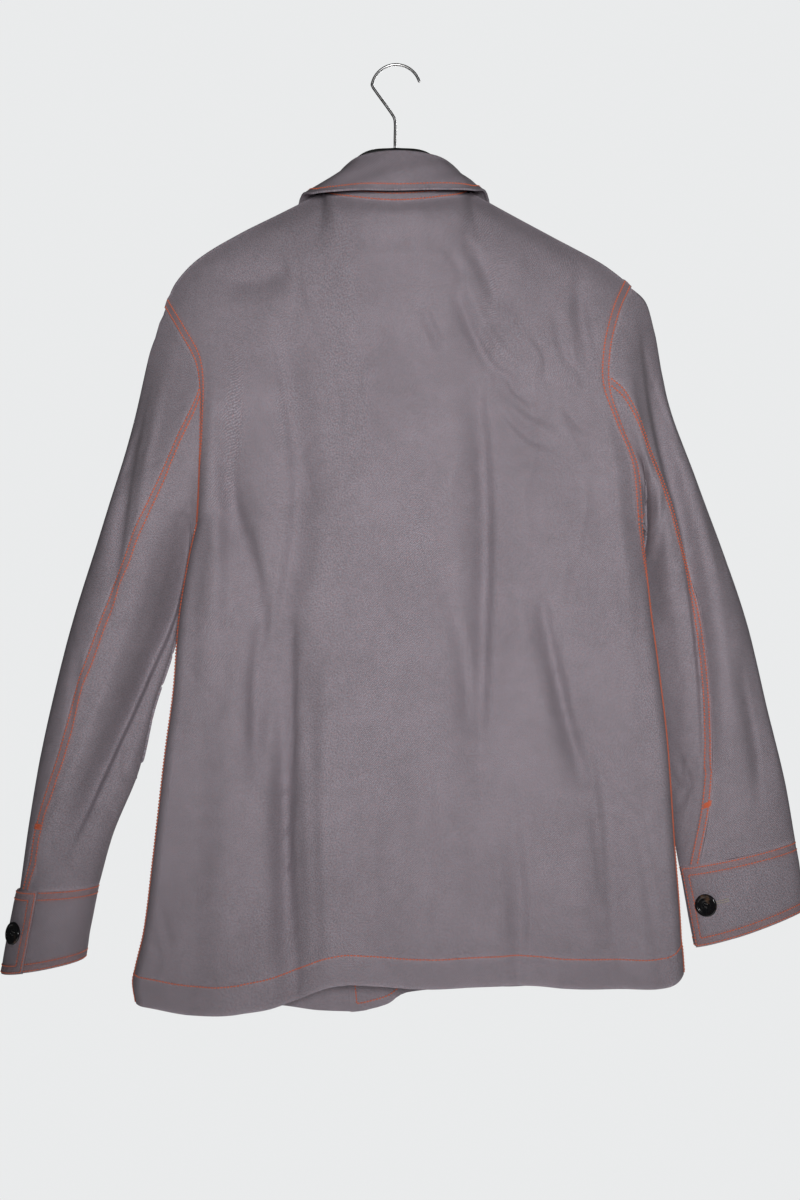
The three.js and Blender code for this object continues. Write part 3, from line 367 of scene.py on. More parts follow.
def unevenness(x, z, size, seed):
    """Smooth random field from -1 to 1: random values on a square grid of that size, joined by soft
    steps."""
    values = np.random.default_rng(seed).uniform(-1, 1, (64, 64))
    gx, gz = x / size + 31.37, z / size + 31.71
    ix, iz = np.floor(gx).astype(int), np.floor(gz).astype(int)
    fx, fz = gx - ix, gz - iz
    fx, fz = fx * fx * (3 - 2 * fx), fz * fz * (3 - 2 * fz)
    v = lambda a, b: values[a % 64, b % 64]
    return mix(mix(v(ix, iz), v(ix + 1, iz), fx), mix(v(ix, iz + 1), v(ix + 1, iz + 1), fx), fz)


def crumple(x, z, size, seed):
    """Thin ridges where a smooth random field passes through zero, stronger in some places than in
    others."""
    field = unevenness(x, z, size, seed) + 0.35 * unevenness(x, z, size * 0.4, seed + 1)
    return np.exp(-(field / 0.13) ** 2) * ramp(unevenness(x, z, size * 2.3, seed + 2), -0.35, 0.6)


# Surfaces of the garment, on a grid of columns round the body and rows up to the shoulder
BODY_COLUMNS = 26
BODY_ROWS = 29
ARMPIT_ROW = 16


def armhole_point(side, front, at):
    """Armhole line by share up from the armpit, behind or in front."""
    word = "left" if side < 0 else "right"
    x, z = read(ARMHOLE, word + "X", at), read(ARMHOLE, word + "Z", at)
    behind = np.stack([x, -read(ARMHOLE, word + "Depth", at), z], -1)
    ahead = np.stack([x + side * read(FRONT_ARMHOLE, "out", at), read(FRONT_ARMHOLE, "depth", at), z], -1)
    return np.where(np.asarray(front)[..., None], ahead, behind)


def side_edge(side, face, row):
    """Side seam below the armpit's row and armhole above it."""
    word = "left" if side < 0 else "right"
    at = np.clip(row / ARMPIT_ROW, 0, 1)
    seam = np.stack([read(SIDE_SEAM, word + "X", at), 0 * row, read(SIDE_SEAM, word + "Z", at)], -1)
    up = np.clip((row - ARMPIT_ROW) / (BODY_ROWS - ARMPIT_ROW), 0, 1)
    hole = armhole_point(side, np.full(row.shape, face > 0), up)
    return np.where((row > ARMPIT_ROW)[..., None], hole, seam)


def top_edge(face, column):
    """Shoulder, neck and shoulder, from the wearer's left to the right."""
    flat = 0 * column
    at_left, at_right = np.clip(column / 8, 0, 1), np.clip((BODY_COLUMNS - column) / 8, 0, 1)
    left = np.stack([read(SHOULDER, "leftX", at_left), flat, read(SHOULDER, "leftZ", at_left)], -1)
    right = np.stack([read(SHOULDER, "rightX", at_right), flat, read(SHOULDER, "rightZ", at_right)], -1)
    rows = BACK_NECK if face < 0 else FRONT_NECK
    at = np.clip((column - 8) / 10, 0, 1)
    neck = read_point(rows, "x y z", at)
    return np.where((column <= 8)[..., None], left, np.where((column >= 18)[..., None], right, neck))


def width_share(face, column):
    """Share of the body's width at a column, closer together toward the sides."""
    if face < 0:
        s = column / BODY_COLUMNS
        return mix(s, (1 - np.cos(np.pi * s)) / 2, 0.45)
    spread = lambda u: mix(u, 1 - np.cos(np.pi * u / 2), 0.55)
    low = 0.389 * spread(np.clip(column / 12, 0, 1))
    high = 1 - 0.525 * spread(np.clip((BODY_COLUMNS - column) / 12, 0, 1))
    middle = 0.389 + 0.043 * (column - 12)
    return np.where(column <= 12, low, np.where(column >= 14, high, middle))


def body_point(face, column, row):
    """Body surface: the straight line between the side edges, carried to the hem line below and the
    shoulder and neck line above, and pushed out by a rounded fullness and the folds. Inside the panel the
    depth of the armholes is evened out over four rows up and down."""
    share = width_share(face, column)
    t = row / BODY_ROWS
    level = mix(side_edge(-1, face, row), side_edge(1, face, row), share[..., None])
    point = level.copy()
    ends = np.zeros_like(row)
    low_left, low_right = side_edge(-1, face, ends), side_edge(1, face, ends)
    hem_x = mix(low_left[..., 0], low_right[..., 0], share)
    hem = read(BACK_HEM if face < 0 else FRONT_HEM, "z", hem_x, "x")
    hem = hem - mix(low_left[..., 2], low_right[..., 2], share)
    first, last = top_edge(face, np.array([0.0, BODY_COLUMNS]))
    top = top_edge(face, column)
    around = sum(top_edge(face, np.clip(column + shift, 0, BODY_COLUMNS)) for shift in range(-5, 6)) / 11
    from_side = np.minimum(column, BODY_COLUMNS - column)
    soft = (face < 0) * np.clip(from_side / 5, 0, 1) * (1 - ramp(t, 0.88, 1.0))
    top = mix(top, around, soft[..., None]) - mix(first, last, share[..., None])
    high = t * t
    point[..., 0] += high * top[..., 0]
    point[..., 1] += high ** 3 * top[..., 1]
    point[..., 2] += high * top[..., 2] + (1 - t) ** 3 * hem
    inside = np.minimum(share, 1 - share) * (side_edge(1, face, row) - side_edge(-1, face, row))[..., 0]
    even = ramp(inside, 0, 90) * (1 - ramp(row, 20, 27))
    for shift in (-4, -2, 2, 4):
        near = np.clip(row + shift, 0, BODY_ROWS)
        other = mix(side_edge(-1, face, near), side_edge(1, face, near), share[..., None])
        point[..., 1] += even * 0.2 * (other - level)[..., 1]
    hidden = (share < 0.5) & (face < 0)
    corner = 0.4 * (1 - ramp(row, np.where(hidden, 21.5, 11), np.where(hidden, 25.5, 17)))
    quarter = np.sqrt(1 - (1 - np.clip(inside / 11, 0, 1)) ** 2)
    rounding = mix(np.maximum(np.sin(np.pi * share), 0) ** 0.62, quarter, corner)
    calm = np.minimum(1, 8 * (1 - t)) * np.minimum(1, share * 14) * np.minimum(1, (1 - share) * 14)
    folds, creases = (BACK_FOLDS, BACK_CREASES) if face < 0 else (FRONT_FOLDS, FRONT_CREASES)
    x, z = point[..., 0].copy(), point[..., 2].copy()
    depth = fold_depth(folds, x, z) * calm
    fine = (1.6 * fold_depth(creases, x, z) + 1.5 * unevenness(x, z, 46, 3) + 0.7 * unevenness(x, z, 19, 4)
            + 1.3 * crumple(x, 0.45 * z, 40, 12) - 1.5 * crumple(x + 0.3 * z, 0.6 * z, 52, 22))
    point[..., 1] += face * (read(FULLNESS, "back" if face < 0 else "front", t) * rounding + depth
                             + fine * np.minimum(1, calm * 1.5))
    return point


def sleeve_point(side, at, angle):
    """Sleeve surface: an ellipse between the outer and the inner edge, led into the armhole at the top."""
    rows = LEFT_SLEEVE if side < 0 else RIGHT_SLEEVE

    def section(v):
        """Ellipse at a share down the sleeve, deeper behind than in front."""
        c, s = np.cos(angle), np.sin(angle)
        x = mix(read(rows, "inX", v), read(rows, "outX", v), (1 + c) / 2)
        z = mix(read(rows, "inZ", v), read(rows, "outZ", v), (1 + c) / 2)
        deep = np.where(s > 0, read(rows, "back", v), read(rows, "front", v))
        return np.stack([x, read(rows, "mid", v) - s * deep, z], -1)

    turn = angle / (2 * np.pi)
    turn = turn - np.floor(turn + 1e-9)
    start = armhole_point(side, turn > 0.5, np.abs(1 - 2 * turn)) - section(np.zeros_like(at))
    point = section(at) + start * (1 - ramp(at, 0, 0.32))[..., None]
    back = np.sin(angle)
    calm = np.minimum(1, at * 6) * np.minimum(1, (1 - at) * 7)
    calm = calm * np.minimum(1, np.maximum(back, -back * 0.5) * 2)
    x, z = point[..., 0].copy(), point[..., 2].copy()
    tuck = ramp(-np.cos(angle), -0.1, 1.0) * ramp(at, 0.1, 0.35) * (1 - ramp(at, 0.72, 0.95))
    point[..., 1] += 17.0 * tuck * np.maximum(back, 0) ** 0.5
    fine = (1.35 * fold_depth(SLEEVE_CREASES[side], x, z) + 1.3 * unevenness(x, z, 38, 7)
            + 0.6 * unevenness(x, z, 15, 8) + 1.3 * crumple(x, 0.5 * z, 34, 32)
            - 1.3 * crumple(x - 0.4 * z, z, 46, 42))
    point[..., 1] -= np.sign(back) * (fold_depth(SLEEVE_FOLDS[side], x, z) + fine) * calm
    return point


class Cloth:
    """A grid of points with outward directions and the distance of each point from the four edges."""

    def __init__(self, points, sign):
        """The sign is 1 where columns and rows already turn outward, and -1 where they turn inward."""
        self.points, self.sign = points, sign
        self.aim()

    def aim(self):
        """Works out directions and distances again after the points moved."""
        across, up = np.gradient(self.points, axis=1), np.gradient(self.points, axis=0)
        self.normals = unit(np.cross(across, up)) * self.sign
        wide = np.linalg.norm(np.diff(self.points, axis=1), axis=2)
        tall = np.linalg.norm(np.diff(self.points, axis=0), axis=2)
        zero_row, zero_column = np.zeros((1, wide.shape[1] + 1)), np.zeros((wide.shape[0], 1))
        self.left = np.hstack([zero_column, np.cumsum(wide, axis=1)])
        self.right = self.left[:, -1:] - self.left
        self.low = np.vstack([zero_row, np.cumsum(tall, axis=0)])
        self.high = self.low[-1:] - self.low
        self.rim = np.minimum(np.minimum(self.low, self.high), np.minimum(self.left, self.right))

    def push(self, amount):
        """Moves each point along its outward direction."""
        self.points = self.points + self.normals * np.asarray(amount)[..., None]
        self.aim()


def grid(columns, rows, first, last, top):
    """Even columns and rows between two ends, as two arrays."""
    return np.meshgrid(np.linspace(first, last, columns + 1), np.linspace(0, top, rows + 1))


def lap(distance, width, height, edge=1.2):
    """Height of a seam's lap: full over its width, soft at the far side and rolled down at the cut edge."""
    full = 1 - ramp(distance, width - 1.5, width + 1.5)
    rolled = 1 - ramp(distance, 0, edge)
    return height * full - 0.5 * height * rolled


def pucker(distance, row, along, reach, height, seed):
    """Small waves beside a stitch row, uneven along it and dying away from it."""
    wave = np.sin(along * 0.62 + 2.2 * unevenness(along, along * 0 + seed, 24, seed))
    strength = 0.6 + 0.4 * unevenness(along, along * 0 + seed, 40, seed + 9)
    return height * wave * strength * np.exp(-((distance - row) / reach) ** 2)


HEM_ROW = 28.0
SEAM_ROWS = (2.0, 8.6)

# Back
BODY_STEPS = 174
c, r = grid(156, BODY_STEPS, 0, BODY_COLUMNS, BODY_ROWS)
back = Cloth(body_point(-1, c, r), 1)
armhole_rows = ramp(r, 15.5, 16.2)
back.push(
    armhole_rows * (lap(back.left, 10.5, 1.1) + lap(back.right, 10.5, 1.1))
    + (1 - armhole_rows) * (lap(back.left, 10.0, 0.8) + lap(back.right, 10.0, 0.8))
    + pucker(back.low, HEM_ROW, back.left, 9, 0.45, 1) - 0.5 * np.exp(-((back.low - HEM_ROW) / 1.2) ** 2)
    + 0.7 * (1 - ramp(back.low, HEM_ROW - 1, HEM_ROW + 3))
    + armhole_rows * pucker(back.left, 5, back.low, 7, 0.35, 2)
    + armhole_rows * pucker(back.right, 5, back.low, 7, 0.35, 5))

# Fronts: the wearer's left one laps over the right one
c, r = grid(84, BODY_STEPS, 0, 14, BODY_ROWS)
front_left = Cloth(body_point(1, c, r), -1)
c2, _ = grid(84, BODY_STEPS, 12, BODY_COLUMNS, BODY_ROWS)
front_right = Cloth(body_point(1, c2, r), -1)
under = np.interp(c2[0], [12, 13, 14, 15, 16, 17, 26], [1, 1, 1, 0.62, 0.25, 0, 0])
lead = front_left.normals[:, 72:]
lead = np.concatenate([lead, np.repeat(lead[:, -1:], 84 - 12, axis=1)], axis=1)
front_right.points = front_right.points - lead * (2.6 * under)[None, :, None]
front_right.aim()
for cloth, arm, edge in ((front_left, "left", "right"), (front_right, "right", "left")):
    outer, free = getattr(cloth, arm), getattr(cloth, edge)
    high = ramp(r, 15.5, 16.2)
    cloth.push(high * lap(outer, 10.5, 1.1) + (1 - high) * lap(outer, 10, 0.5)
               + pucker(cloth.low, HEM_ROW, cloth.left, 9, 0.4, 11)
               - 0.5 * np.exp(-((cloth.low - HEM_ROW) / 1.2) ** 2)
               + (0.3 * (1 - ramp(free, 40, 43)) if cloth is front_left else 0))

# Sleeves, each an under and an upper piece; the vent beside the left elbow seam gapes
VENT_GAPE = {-1: 3.4, 1: 0.5}
sleeves = {}
for side in (-1, 1):
    rows = LEFT_SLEEVE if side < 0 else RIGHT_SLEEVE
    c, r = grid(84, 144, 0, 1, 1)
    at = 1 - r
    elbow = np.radians(read(rows, "elbow", at))
    forearm = 2 * np.pi - np.radians(read(rows, "forearm", at))
    sign = 1 if side < 0 else -1
    lower = Cloth(sleeve_point(side, at, mix(elbow, forearm, c)), sign)
    upper = Cloth(sleeve_point(side, at, mix(forearm, elbow + 2 * np.pi, c)), sign)
    gape = np.exp(-((lower.low - 30) / 20) ** 2) * np.exp(-lower.left / 7)
    sideways = unit(np.gradient(lower.points, axis=1))
    lower.points = lower.points + sideways * (VENT_GAPE[side] * gape)[..., None]
    lower.aim()
    lower.push(lap(lower.left, 10.5, 0.9) + lap(lower.right, 10.5, 0.7)
               + pucker(lower.left, 5, lower.low, 7, 0.3, 21) - 0.6 * (1 - ramp(lower.high, 0, 4)))
    upper.push(-0.4 * (1 - ramp(upper.left, 0, 2)) - 0.4 * (1 - ramp(upper.right, 0, 2))
               + pucker(upper.right, 0, upper.low, 7, 0.3, 23) - 0.6 * (1 - ramp(upper.high, 0, 4)))
    sleeves[side] = (lower, upper)


def cuff_point(side, column, row):
    """Cuff band: an ellipse carried a little more than once round, its free end lifted over its start."""
    rows = LEFT_SLEEVE if side < 0 else RIGHT_SLEEVE
    top = {k: rows[k][-1] for k in ("outX", "outZ", "inX", "inZ", "mid", "back", "front")}
    low = CUFF_END[side]
    angle = np.radians(low["tab"]) - column * 2 * np.pi / BODY_COLUMNS
    share = 1 - row
    c, s = np.cos(angle), np.sin(angle)
    size = {k: mix(top[k], low[k], share) for k in top}
    out_x, out_z, in_x, in_z = (size[k] for k in ("outX", "outZ", "inX", "inZ"))
    deep = np.where(s > 0, size["back"], size["front"])
    half_x, half_z = (out_x - in_x) / 2, (out_z - in_z) / 2
    lift = np.clip(1 - (column - 4) / 4, 0, 1)
    raise_by = 3.6 * lift
    grow = 1 + raise_by / np.hypot(half_x, half_z)
    x = (out_x + in_x) / 2 + half_x * c * grow
    z = (out_z + in_z) / 2 + half_z * c * grow
    return np.stack([x, size["mid"] - s * (deep + raise_by), z], -1)


cuffs = {}
for side in (-1, 1):
    c, r = grid(240, 44, 0, 30, 1)
    cuff = Cloth(cuff_point(side, c, r), -1 if side < 0 else 1)
    rim = cuff.rim
    cuff.push(-0.6 * (1 - ramp(rim, 0, 1.6)) - 0.35 * np.exp(-((rim - 2.0) / 0.9) ** 2)
              - 0.35 * np.exp(-((rim - 8.6) / 0.9) ** 2) + 0.5 * unevenness(cuff.left, cuff.low, 20, 31)
              + pucker(rim, 5, cuff.left + cuff.low, 5, 0.3, 33))
    cuffs[side] = cuff


def collar_point(at, row):
    """Collar: up the stand from the neck seam, round the fold and down the fall, as one line of eight
    points at each share of the neck, joined by a cubic."""
    fold = read_point(COLLAR, "foldX foldY foldZ", at[0])
    low = read_point(COLLAR, "edgeX edgeY edgeZ", at[0])
    out = low - fold
    out[:, 2] = 0
    out = unit(out)
    neck = neck_line(at[0])
    down = np.array([0, 0, -4.5])
    inside, outside = fold - 3.6 * out + down, fold + 3.6 * out + down
    stand_1, stand_2 = mix(neck, inside, 1 / 3), mix(neck, inside, 0.727)
    fall = mix(outside, low, 0.5) + 1.2 * out
    line = np.stack([neck, stand_1, stand_2, inside, fold, outside, fall, low])
    share = row[:, 0]
    k = np.clip(np.floor(share).astype(int), 0, 6)
    u = (share - k)[:, None, None]
    slope = np.gradient(line, axis=0)
    return cubic(line[k], line[k + 1], slope[k], slope[k + 1], u)


def neck_line(at):
    """Inner side of the neck seam from the left front end round the back to the right front end."""
    k = at * 20
    front = top_edge(1, np.where(k < 10, 13 - np.clip(k, 0, 5), 13 + np.clip(20 - k, 0, 5)))
    behind = top_edge(-1, np.clip(8 + k - 5, 8, 18))
    point = np.where(((k > 5) & (k < 15))[:, None], behind, front)
    inward = -point.copy()
    inward[:, 2] = 0
    return point + 2.2 * unit(inward + 1e-6) + np.array([0, 0, -0.6])


COLLAR_ROW = 6.6
c, r = grid(200, 70, 0, 1, 7)
collar = Cloth(collar_point(c, r), 1)
rim = np.minimum(collar.high, np.minimum(collar.left, collar.right))
groove = np.exp(-((collar.high - COLLAR_ROW) / 1.0) ** 2)
fall = ramp(r, 4, 5)
collar.push(-0.5 * (1 - ramp(rim, 0, 1.6)) * fall + 0.4 * groove * fall
            + 0.9 * unevenness(collar.left, collar.low, 34, 41) * ramp(r, 4.5, 6)
            + pucker(collar.high, 6, collar.left, 5, 0.35, 43) * fall)

# Patch pockets lie on the fronts' own points, moved out
pockets = {}
for side, front in ((-1, front_left), (1, front_right)):
    first = 6 if side < 0 else 6 * 5
    part = front.points[12:49, first:first + 49] + 1.9 * front.normals[12:49, first:first + 49]
    pocket = Cloth(part, -1)
    pocket.push(-0.5 * (1 - ramp(pocket.rim, 0, 1.6)) + 0.5 * unevenness(pocket.left, pocket.low, 30, 47)
                + pucker(pocket.rim, 4, pocket.left + pocket.low, 6, 0.3, 49))
    pockets[side] = pocket


# Meshes

def put_mesh(name, points, faces, uv=None, marks=None, sharp=0.9):
    """A mesh object at the origin from points in millimetres, with smooth faces parted at sharp edges."""
    mesh = bpy.data.meshes.new(name)
    mesh.from_pydata((np.asarray(points, float) * MM).tolist(), [], faces)
    mesh.polygons.foreach_set("use_smooth", np.ones(len(mesh.polygons), bool))
    mesh.set_sharp_from_angle(angle=sharp)
    if uv is not None:
        index = np.empty(len(mesh.loops), np.int32)
        mesh.loops.foreach_get("vertex_index", index)
        layer = mesh.uv_layers.new(name="cloth")
        layer.data.foreach_set("uv", (np.asarray(uv)[index] * MM).astype(np.float32).ravel())
    for mark, values in (marks or {}).items():
        layer = mesh.attributes.new(mark, "FLOAT", "POINT")
        layer.data.foreach_set("value", np.asarray(values, np.float32).ravel())
    obj = bpy.data.objects.new(name, mesh)
    scene.collection.objects.link(obj)
    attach(obj, "root")
    return obj


def wall(cloth, thickness):
    """Closed wall: the outer skin, the inner skin a thickness behind it, and the four rims between them."""
    rows, columns = cloth.points.shape[:2]
    count = rows * columns
    outer = cloth.points.reshape(-1, 3)
    inner = outer - cloth.normals.reshape(-1, 3) * thickness
    index = np.arange(count).reshape(rows, columns)
    a, b, c, d = index[:-1, :-1], index[:-1, 1:], index[1:, 1:], index[1:, :-1]
    skin = np.stack([a, b, c, d], -1).reshape(-1, 4)
    back_skin = skin[:, ::-1] + count
    loop = np.concatenate([index[0, :-1], index[:-1, -1], index[-1, :0:-1], index[:0:-1, 0]])
    after = np.roll(loop, -1)
    rims = np.stack([loop, loop + count, after + count, after], -1)
    faces = np.concatenate([skin, back_skin, rims])
    if cloth.sign < 0:
        faces = faces[:, ::-1]
    return np.concatenate([outer, inner]), faces.tolist()


def panel(name, cloth, thickness, nodes, flat, area, sewn="", wear_at=None):
    """A cloth panel as a closed wall that stands for its CAD nodes; wear is strong on edges and laps, and
    the strips along the sewn edges are marked for their warmer colour."""
    points, faces = wall(cloth, thickness)
    wear = np.exp(-cloth.rim / 1.4)
    if wear_at is not None:
        wear = np.maximum(wear, wear_at)
    strip = 0 * cloth.rim
    for word in sewn.split():
        strip = np.maximum(strip, 1 - ramp(getattr(cloth, word), 9.5, 12.0))
    middle = cloth.left[:, cloth.left.shape[1] // 2][:, None]
    uv = np.stack([cloth.left - middle, cloth.low], -1).reshape(-1, 2)
    marks = {"wear": np.concatenate([wear.ravel(), 0.2 * wear.ravel()]), "strip": np.tile(strip.ravel(), 2)}
    obj = put_mesh(name, points, faces, np.concatenate([uv, uv]), marks, 1.25)
    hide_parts(*nodes.split())
    return obj


# Sewing thread
def line_at(cloth, side, distance):
    """Line at a distance from an edge: on each grid line that crosses the edge, the place where that
    distance is reached."""
    axis = 1 if side in ("left", "right") else 0
    reach, points, normals = getattr(cloth, side), cloth.points, cloth.normals
    if side in ("right", "high"):
        reach, points, normals = (np.flip(v, axis) for v in (reach, points, normals))
    if axis == 0:
        reach, points, normals = reach.T, points.swapaxes(0, 1), normals.swapaxes(0, 1)
    k = np.clip((reach < distance).sum(axis=1) - 1, 0, reach.shape[1] - 2)
    line = np.arange(len(k))
    a, b = reach[line, k], reach[line, k + 1]
    t = np.clip((distance - a) / np.maximum(b - a, 1e-6), 0, 1)[:, None]
    return mix(points[line, k], points[line, k + 1], t), unit(mix(normals[line, k], normals[line, k + 1], t))


def part_of(line, start=0.0, end=1.0, trim=0.0, trim_end=None):
    """Part of a line by share of its length, with some millimetres taken off both ends."""
    points, normals = line
    run = run_of(points)
    lo, hi = run[-1] * start + trim, run[-1] * end - (trim if trim_end is None else trim_end)
    at = np.linspace(lo, hi, max(int((hi - lo) / 1.0), 2))
    return place_on(points, run, at), unit(place_on(normals, run, at))


def behind(line, thickness):
    """The same line on the other face of a wall."""
    return line[0] - line[1] * thickness, -line[1]


THREAD_PITCH = 3.1
THREAD_LONG = 2.6
# Rings of one stitch: share of its length, radius and lift as shares of its thickness
RINGS = np.array([
    (0.00, 0.14, -0.30), (0.16, 0.34, 0.10), (0.50, 0.40, 0.24), (0.84, 0.34, 0.10), (1.00, 0.14, -0.30)])


def thread_mesh(name, lines, material, pitch=THREAD_PITCH, long=THREAD_LONG, thick=1.75):
    """Stitches along lines: each is a short spindle of five rings of five points, its ends in the cloth."""
    starts, alongs, outs = [], [], []
    for points, normals in lines:
        run = run_of(points)
        count = int(run[-1] / pitch)
        if count < 1:
            continue
        at = (np.arange(count) + 0.5) * run[-1] / count
        a, b = place_on(points, run, at - long / 2), place_on(points, run, at + long / 2)
        starts.append(a)
        alongs.append(b - a)
        outs.append(unit(place_on(normals, run, at)))
    start, along, out = np.concatenate(starts), np.concatenate(alongs), np.concatenate(outs)
    side = unit(np.cross(along, out))
    out = unit(np.cross(side, along))
    angle = 2 * np.pi * np.arange(5) / 5 + 0.3
    share, radius, lift = RINGS.T
    centre = start[:, None] + along[:, None] * share[:, None] + out[:, None] * (lift * thick)[:, None]
    ring = np.cos(angle)[:, None] * side[:, None, None] + np.sin(angle)[:, None] * out[:, None, None]
    points = centre[:, :, None] + ring * (radius * thick)[:, None, None]
    n = len(start)
    base = (np.arange(n) * 25)[:, None]
    k, i = np.meshgrid(np.arange(4), np.arange(5), indexing="ij")
    j = (i + 1) % 5
    quad = np.stack([k * 5 + i, k * 5 + j, (k + 1) * 5 + j, (k + 1) * 5 + i], -1).reshape(-1, 4)
    quads = (base[:, :, None] + quad[None]).reshape(-1, 4).tolist()
    first = (base + np.array([4, 3, 2, 1, 0])).tolist()
    final = (base + 20 + np.array([0, 1, 2, 3, 4])).tolist()
    along_uv = np.broadcast_to(share[:, None] * long + (np.arange(n) * pitch)[:, None, None], (n, 5, 5))
    round_uv = np.broadcast_to(angle[None, None, :] * 0.4, (n, 5, 5))
    uv = np.stack([along_uv, round_uv], -1).reshape(-1, 2)
    obj = put_mesh(name, points.reshape(-1, 3), quads + first + final, uv)
    obj.data.materials.append(material)
    return obj


# Materials

def new_group(name, inputs, outputs):
    """Empty shader node group with float, vector or colour sockets."""
    tree = bpy.data.node_groups.new(name, "ShaderNodeTree")
    for label, kind, value in inputs:
        item = tree.interface.new_socket(label, in_out="INPUT", socket_type=kind)
        if value is not None:
            item.default_value = value
    for label, kind in outputs:
        tree.interface.new_socket(label, in_out="OUTPUT", socket_type=kind)
    return tree, tree.nodes.new("NodeGroupInput"), tree.nodes.new("NodeGroupOutput")


class Nodes:
    """Short words for nodes of one tree."""

    def __init__(self, tree):
        """Keeps the tree that the nodes go into."""
        self.tree = tree

    def link(self, a, b):
        """Joins an output to an input, or sets the input where the first is a plain value."""
        if hasattr(a, "is_output"):
            self.tree.links.new(a, b)
        else:
            b.default_value = a

    def make(self, kind, settings=(), **sockets):
        """New node with its settings and its inputs, named by label or by number as i0, i1 and so on."""
        node = self.tree.nodes.new(kind)
        for key, value in dict(settings).items():
            setattr(node, key, value)
        for key, value in sockets.items():
            numbered = key[0] == "i" and key[1:].isdigit()
            self.link(value, node.inputs[int(key[1:]) if numbered else key])
        return node

    def maths(self, operation, a, b=0.0, c=0.0):
        """One sum, product or other operation."""
        return self.make("ShaderNodeMath", {"operation": operation}, i0=a, i1=b, i2=c).outputs[0]

    def noise(self, vector, scale, detail=2.0, roughness=0.5):
        """Cloudy noise from 0 to 1."""
        node = self.make("ShaderNodeTexNoise", Vector=vector, Scale=scale, Detail=detail, Roughness=roughness)
        return node.outputs[0]

    def stretch(self, vector, scale, turn=0.0):
        """The place scaled and turned about Z."""
        return self.make("ShaderNodeMapping", Vector=vector, Scale=scale, Rotation=(0, 0, turn)).outputs[0]

    def span(self, value, low, high, to_low=0.0, to_high=1.0):
        """A value carried from one range to another."""
        node = self.make("ShaderNodeMapRange", i0=value, i1=low, i2=high, i3=to_low, i4=to_high)
        return node.outputs[0]

    def blend(self, share, a, b):
        """Colour a share of the way from a to b."""
        node = self.make("ShaderNodeMix", {"data_type": "RGBA"})
        self.link(share, node.inputs[0])
        self.link(a, node.inputs[6])
        self.link(b, node.inputs[7])
        return node.outputs[2]


# Woven cotton: slanting twill lines, a fine grain of reddish and dark yarn, short weft slubs, slow mottling
weave, put_in, put_out = new_group(
    "woven cotton",
    [("Vector", "NodeSocketVector", None), ("Base", "NodeSocketColor", (0.2, 0.18, 0.19, 1)),
     ("Warm", "NodeSocketColor", (0.3, 0.2, 0.2, 1)), ("Dark", "NodeSocketColor", (0.12, 0.11, 0.12, 1)),
     ("Wear", "NodeSocketFloat", 0.0), ("Strip", "NodeSocketFloat", 0.0)],
    [("Color", "NodeSocketColor"), ("Height", "NodeSocketFloat"), ("Roughness", "NodeSocketFloat")])
n = Nodes(weave)
uv = put_in.outputs["Vector"]
twill = n.make("ShaderNodeTexWave", {"wave_type": "BANDS", "bands_direction": "X", "wave_profile": "SIN"},
               Vector=n.stretch(uv, (1, 1, 1), 0.74), Scale=205.0, Distortion=3.4, Detail=3.0).outputs[1]
grain = n.noise(uv, 1050.0, 2.0, 0.6)
reddish = n.span(n.noise(n.stretch(uv, (1, 1, 1), 0.3), 680.0, 4.0, 0.72), 0.45, 0.62)
greyish = n.span(n.noise(n.stretch(uv, (1, 1, 1), 1.1), 780.0, 4.0, 0.72), 0.46, 0.62)
weft = n.noise(n.stretch(uv, (190, 1250, 1)), 1.0, 3.0, 0.6)
slub = n.span(n.noise(n.stretch(uv, (70, 620, 1)), 1.0, 2.0, 0.5), 0.56, 0.76)
mottle = n.noise(uv, 90.0, 4.0, 0.62)
cloudy = n.noise(uv, 15.0, 3.0, 0.55)
colour = n.blend(n.maths("MULTIPLY", reddish, 0.8), put_in.outputs["Base"], put_in.outputs["Warm"])
colour = n.blend(n.maths("MULTIPLY", greyish, 0.75), colour, put_in.outputs["Dark"])
colour = n.blend(n.maths("MULTIPLY", slub, 0.22), colour, put_in.outputs["Warm"])
colour = n.blend(n.span(twill, 0.15, 0.9, 0.0, 0.4), colour, put_in.outputs["Dark"])
colour = n.blend(n.maths("MULTIPLY", put_in.outputs["Strip"], n.span(mottle, 0.3, 0.7, 0.15, 0.55)), colour,
                 (0.27, 0.15, 0.15, 1))
bright = n.maths("ADD", n.span(grain, 0.3, 0.7, 0.74, 1.26), n.span(weft, 0.3, 0.7, -0.08, 0.08))
bright = n.maths("MULTIPLY", bright, n.span(cloudy, 0.3, 0.7, 0.93, 1.07))
bright = n.maths("MULTIPLY", bright, n.span(mottle, 0.3, 0.7, 0.94, 1.06))
bright = n.maths("MULTIPLY", bright, n.span(put_in.outputs["Wear"], 0.0, 1.0, 1.0, 1.25))
scaled = n.make("ShaderNodeVectorMath", {"operation": "SCALE"}, i0=colour)
n.link(bright, scaled.inputs["Scale"])
n.link(scaled.outputs[0], put_out.inputs["Color"])
height = n.maths("ADD", n.maths("MULTIPLY", grain, 0.5), n.maths("MULTIPLY", weft, 0.4))
height = n.maths("ADD", height, n.maths("MULTIPLY", twill, 0.35))
n.link(height, put_out.inputs["Height"])
n.link(n.span(mottle, 0.3, 0.7, 0.86, 0.96), put_out.inputs["Roughness"])


def material(name):
    """New node material; returns it with its tree's words and its Principled shader."""
    made = bpy.data.materials.new(name)
    made.use_nodes = True
    words = Nodes(made.node_tree)
    return made, words, made.node_tree.nodes["Principled BSDF"]


